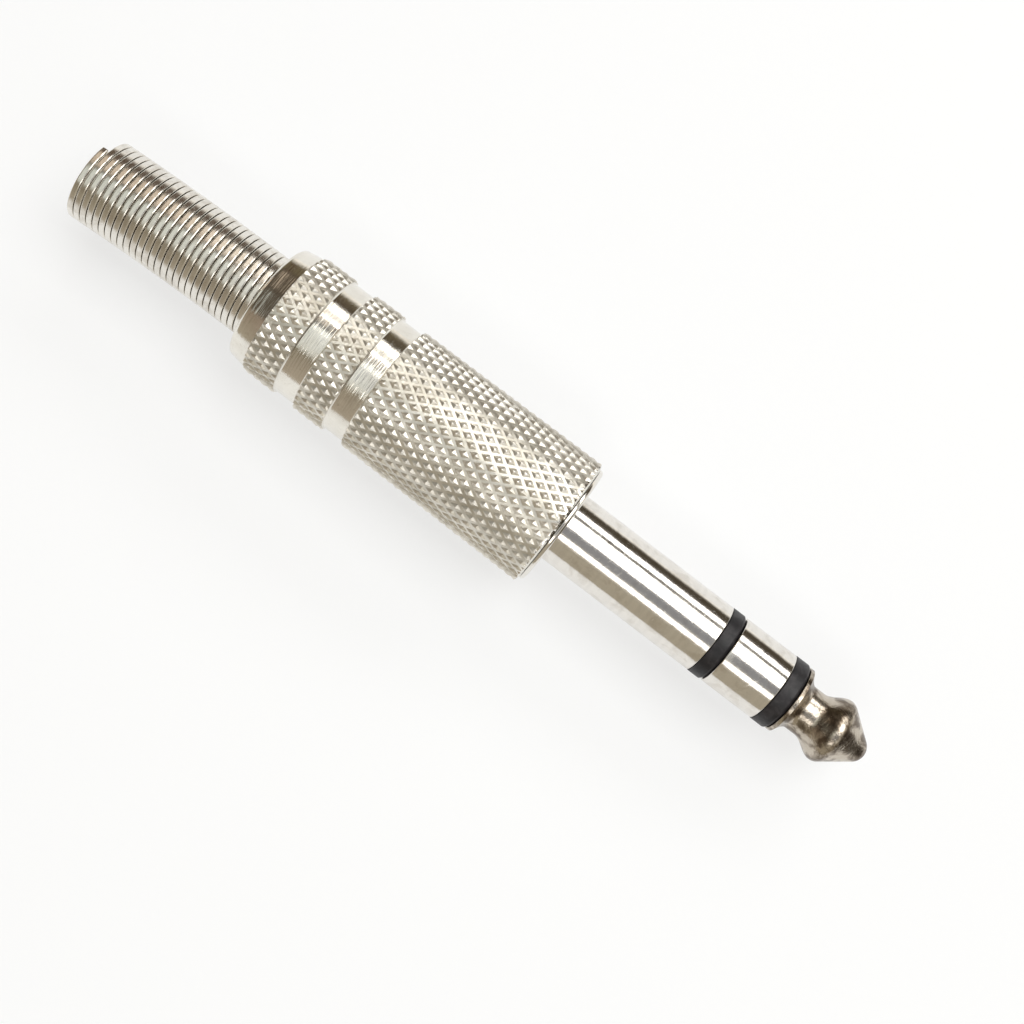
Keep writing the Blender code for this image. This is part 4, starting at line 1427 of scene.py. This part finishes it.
def room(world):
    """A room whose tones change round the plug's axis and along it, and that is white to the camera."""
    world.use_nodes = True
    tree = world.node_tree
    tree.nodes.clear()
    way = add_node(tree, "ShaderNodeTexCoord").outputs["Generated"]
    parts = add_node(tree, "ShaderNodeSeparateXYZ", inputs={0: way}).outputs
    lean = math_node(tree, "ARCTAN2", parts["Y"], parts["Z"])
    share = total(tree, math_node(tree, "DIVIDE", lean, math.tau), 0.5)
    color = lean_colors(tree, share, SPRING_ROOM)
    for start, end, bands in (
        (-0.86, -0.78, END_ROOM),
        (-0.46, -0.41, SPRING_ROOM),
        (-0.23, -0.20, GROOVE_ROOM),
        (-0.10, -0.07, SHANK_ROOM),
        (0.60, 0.70, FRONT_ROOM),
        (0.86, 0.95, FAR_ROOM),
    ):
        along = ramp(tree, parts["X"], start, end)
        color = mix_color(tree, along, color, lean_colors(tree, share, bands))
    seen, white = (
        add_node(tree, "ShaderNodeBackground", inputs={"Color": tone, "Strength": 1.0}).outputs[0]
        for tone in (color, WHITE)
    )
    ray = add_node(tree, "ShaderNodeLightPath").outputs["Is Camera Ray"]
    both = add_node(tree, "ShaderNodeMixShader", inputs={0: ray, 1: seen, 2: white}).outputs[0]
    add_node(tree, "ShaderNodeOutputWorld", inputs={"Surface": both})


class JACK_OT_stage(bpy.types.Operator):
    """Lay the floor, set the lights and the room, and aim the camera"""

    bl_idname = "jack.stage"
    bl_label = "Stage"

    def execute(self, context):
        stage = context.scene.jack_stage
        scene = context.scene
        floor_material(stage)
        wide, paper_edge, paper_end = 1.5, 0.04, 0.095
        floor_piece("floor_near", -wide, paper_end, -wide, paper_edge)
        far = floor_piece("floor_far", -wide, paper_end, paper_edge, wide)
        far.visible_glossy = False
        reach = 0.5
        for name, leans, span, radiance in (
            ("key_low", (52, 66), (-0.10, 0.32), stage.key_power),
            ("key_middle", (34, 40), (-0.10, 0.32), stage.key_power),
            ("key_high", (8.5, 34), (-0.03, 0.32), stage.key_power),
            ("strip", (-38, -24), (-0.03, 0.32), stage.strip_power),
        ):
            softbox(name, leans, reach, span, radiance)
        scene.world = bpy.data.worlds.new("room")
        room(scene.world)
        camera = bpy.data.cameras.new("camera")
        camera.lens = stage.lens
        camera.sensor_width = 36.0
        camera.clip_start = 0.001
        camera.clip_end = 10.0
        obj = bpy.data.objects.new("camera", camera)
        scene.collection.objects.link(obj)
        obj.location = (stage.camera_along, stage.camera_across, AXIS_HEIGHT + stage.camera_height)
        obj.rotation_euler = (0.0, 0.0, stage.camera_turn)
        scene.camera = obj
        scene.view_settings.view_transform = "Standard"
        return {"FINISHED"}


class JACK_PT_panel(bpy.types.Panel):
    """Lists the plug's pieces and their sizes"""

    bl_idname = "JACK_PT_panel"
    bl_label = "Stereo jack plug"
    bl_space_type = "VIEW_3D"
    bl_region_type = "UI"
    bl_category = "Jack plug"

    def draw(self, context):
        for settings in SETTINGS:
            group = getattr(context.scene, settings)
            column = self.layout.column(align=True)
            for name in group.bl_rna.properties.keys():
                if name not in {"rna_type", "name"}:
                    column.prop(group, name)
        for operator in OPERATORS:
            self.layout.operator(operator.bl_idname)


SETTINGS = {
    "jack_contacts": ContactSettings,
    "jack_terminals": TerminalSettings,
    "jack_shell": ShellSettings,
    "jack_spring": SpringSettings,
    "jack_finish": FinishSettings,
    "jack_stage": StageSettings,
}
OPERATORS = (
    JACK_OT_finishes,
    JACK_OT_tip,
    JACK_OT_ring,
    JACK_OT_insulators,
    JACK_OT_body,
    JACK_OT_washers,
    JACK_OT_lugs,
    JACK_OT_ground_tag,
    JACK_OT_liner,
    JACK_OT_spring,
    JACK_OT_shell,
    JACK_OT_stage,
)


def register():
    """Add the settings, the operators and the panel to Blender."""
    for settings in SETTINGS.values():
        bpy.utils.register_class(settings)
    for name, settings in SETTINGS.items():
        setattr(bpy.types.Scene, name, bpy.props.PointerProperty(type=settings))
    for operator in OPERATORS:
        bpy.utils.register_class(operator)
    bpy.utils.register_class(JACK_PT_panel)


def unregister():
    """Take them out again."""
    bpy.utils.unregister_class(JACK_PT_panel)
    for operator in reversed(OPERATORS):
        bpy.utils.unregister_class(operator)
    for name, settings in SETTINGS.items():
        delattr(bpy.types.Scene, name)
        bpy.utils.unregister_class(settings)


def main():
    """Build everything."""
    register()
    bpy.ops.jack.finishes()
    bpy.ops.jack.tip()
    bpy.ops.jack.ring()
    bpy.ops.jack.insulators()
    bpy.ops.jack.body()
    bpy.ops.jack.washers()
    bpy.ops.jack.lugs()
    bpy.ops.jack.ground_tag()
    bpy.ops.jack.liner()
    bpy.ops.jack.spring()
    bpy.ops.jack.shell()
    bpy.ops.jack.stage()


if __name__ == "__main__":
    main()
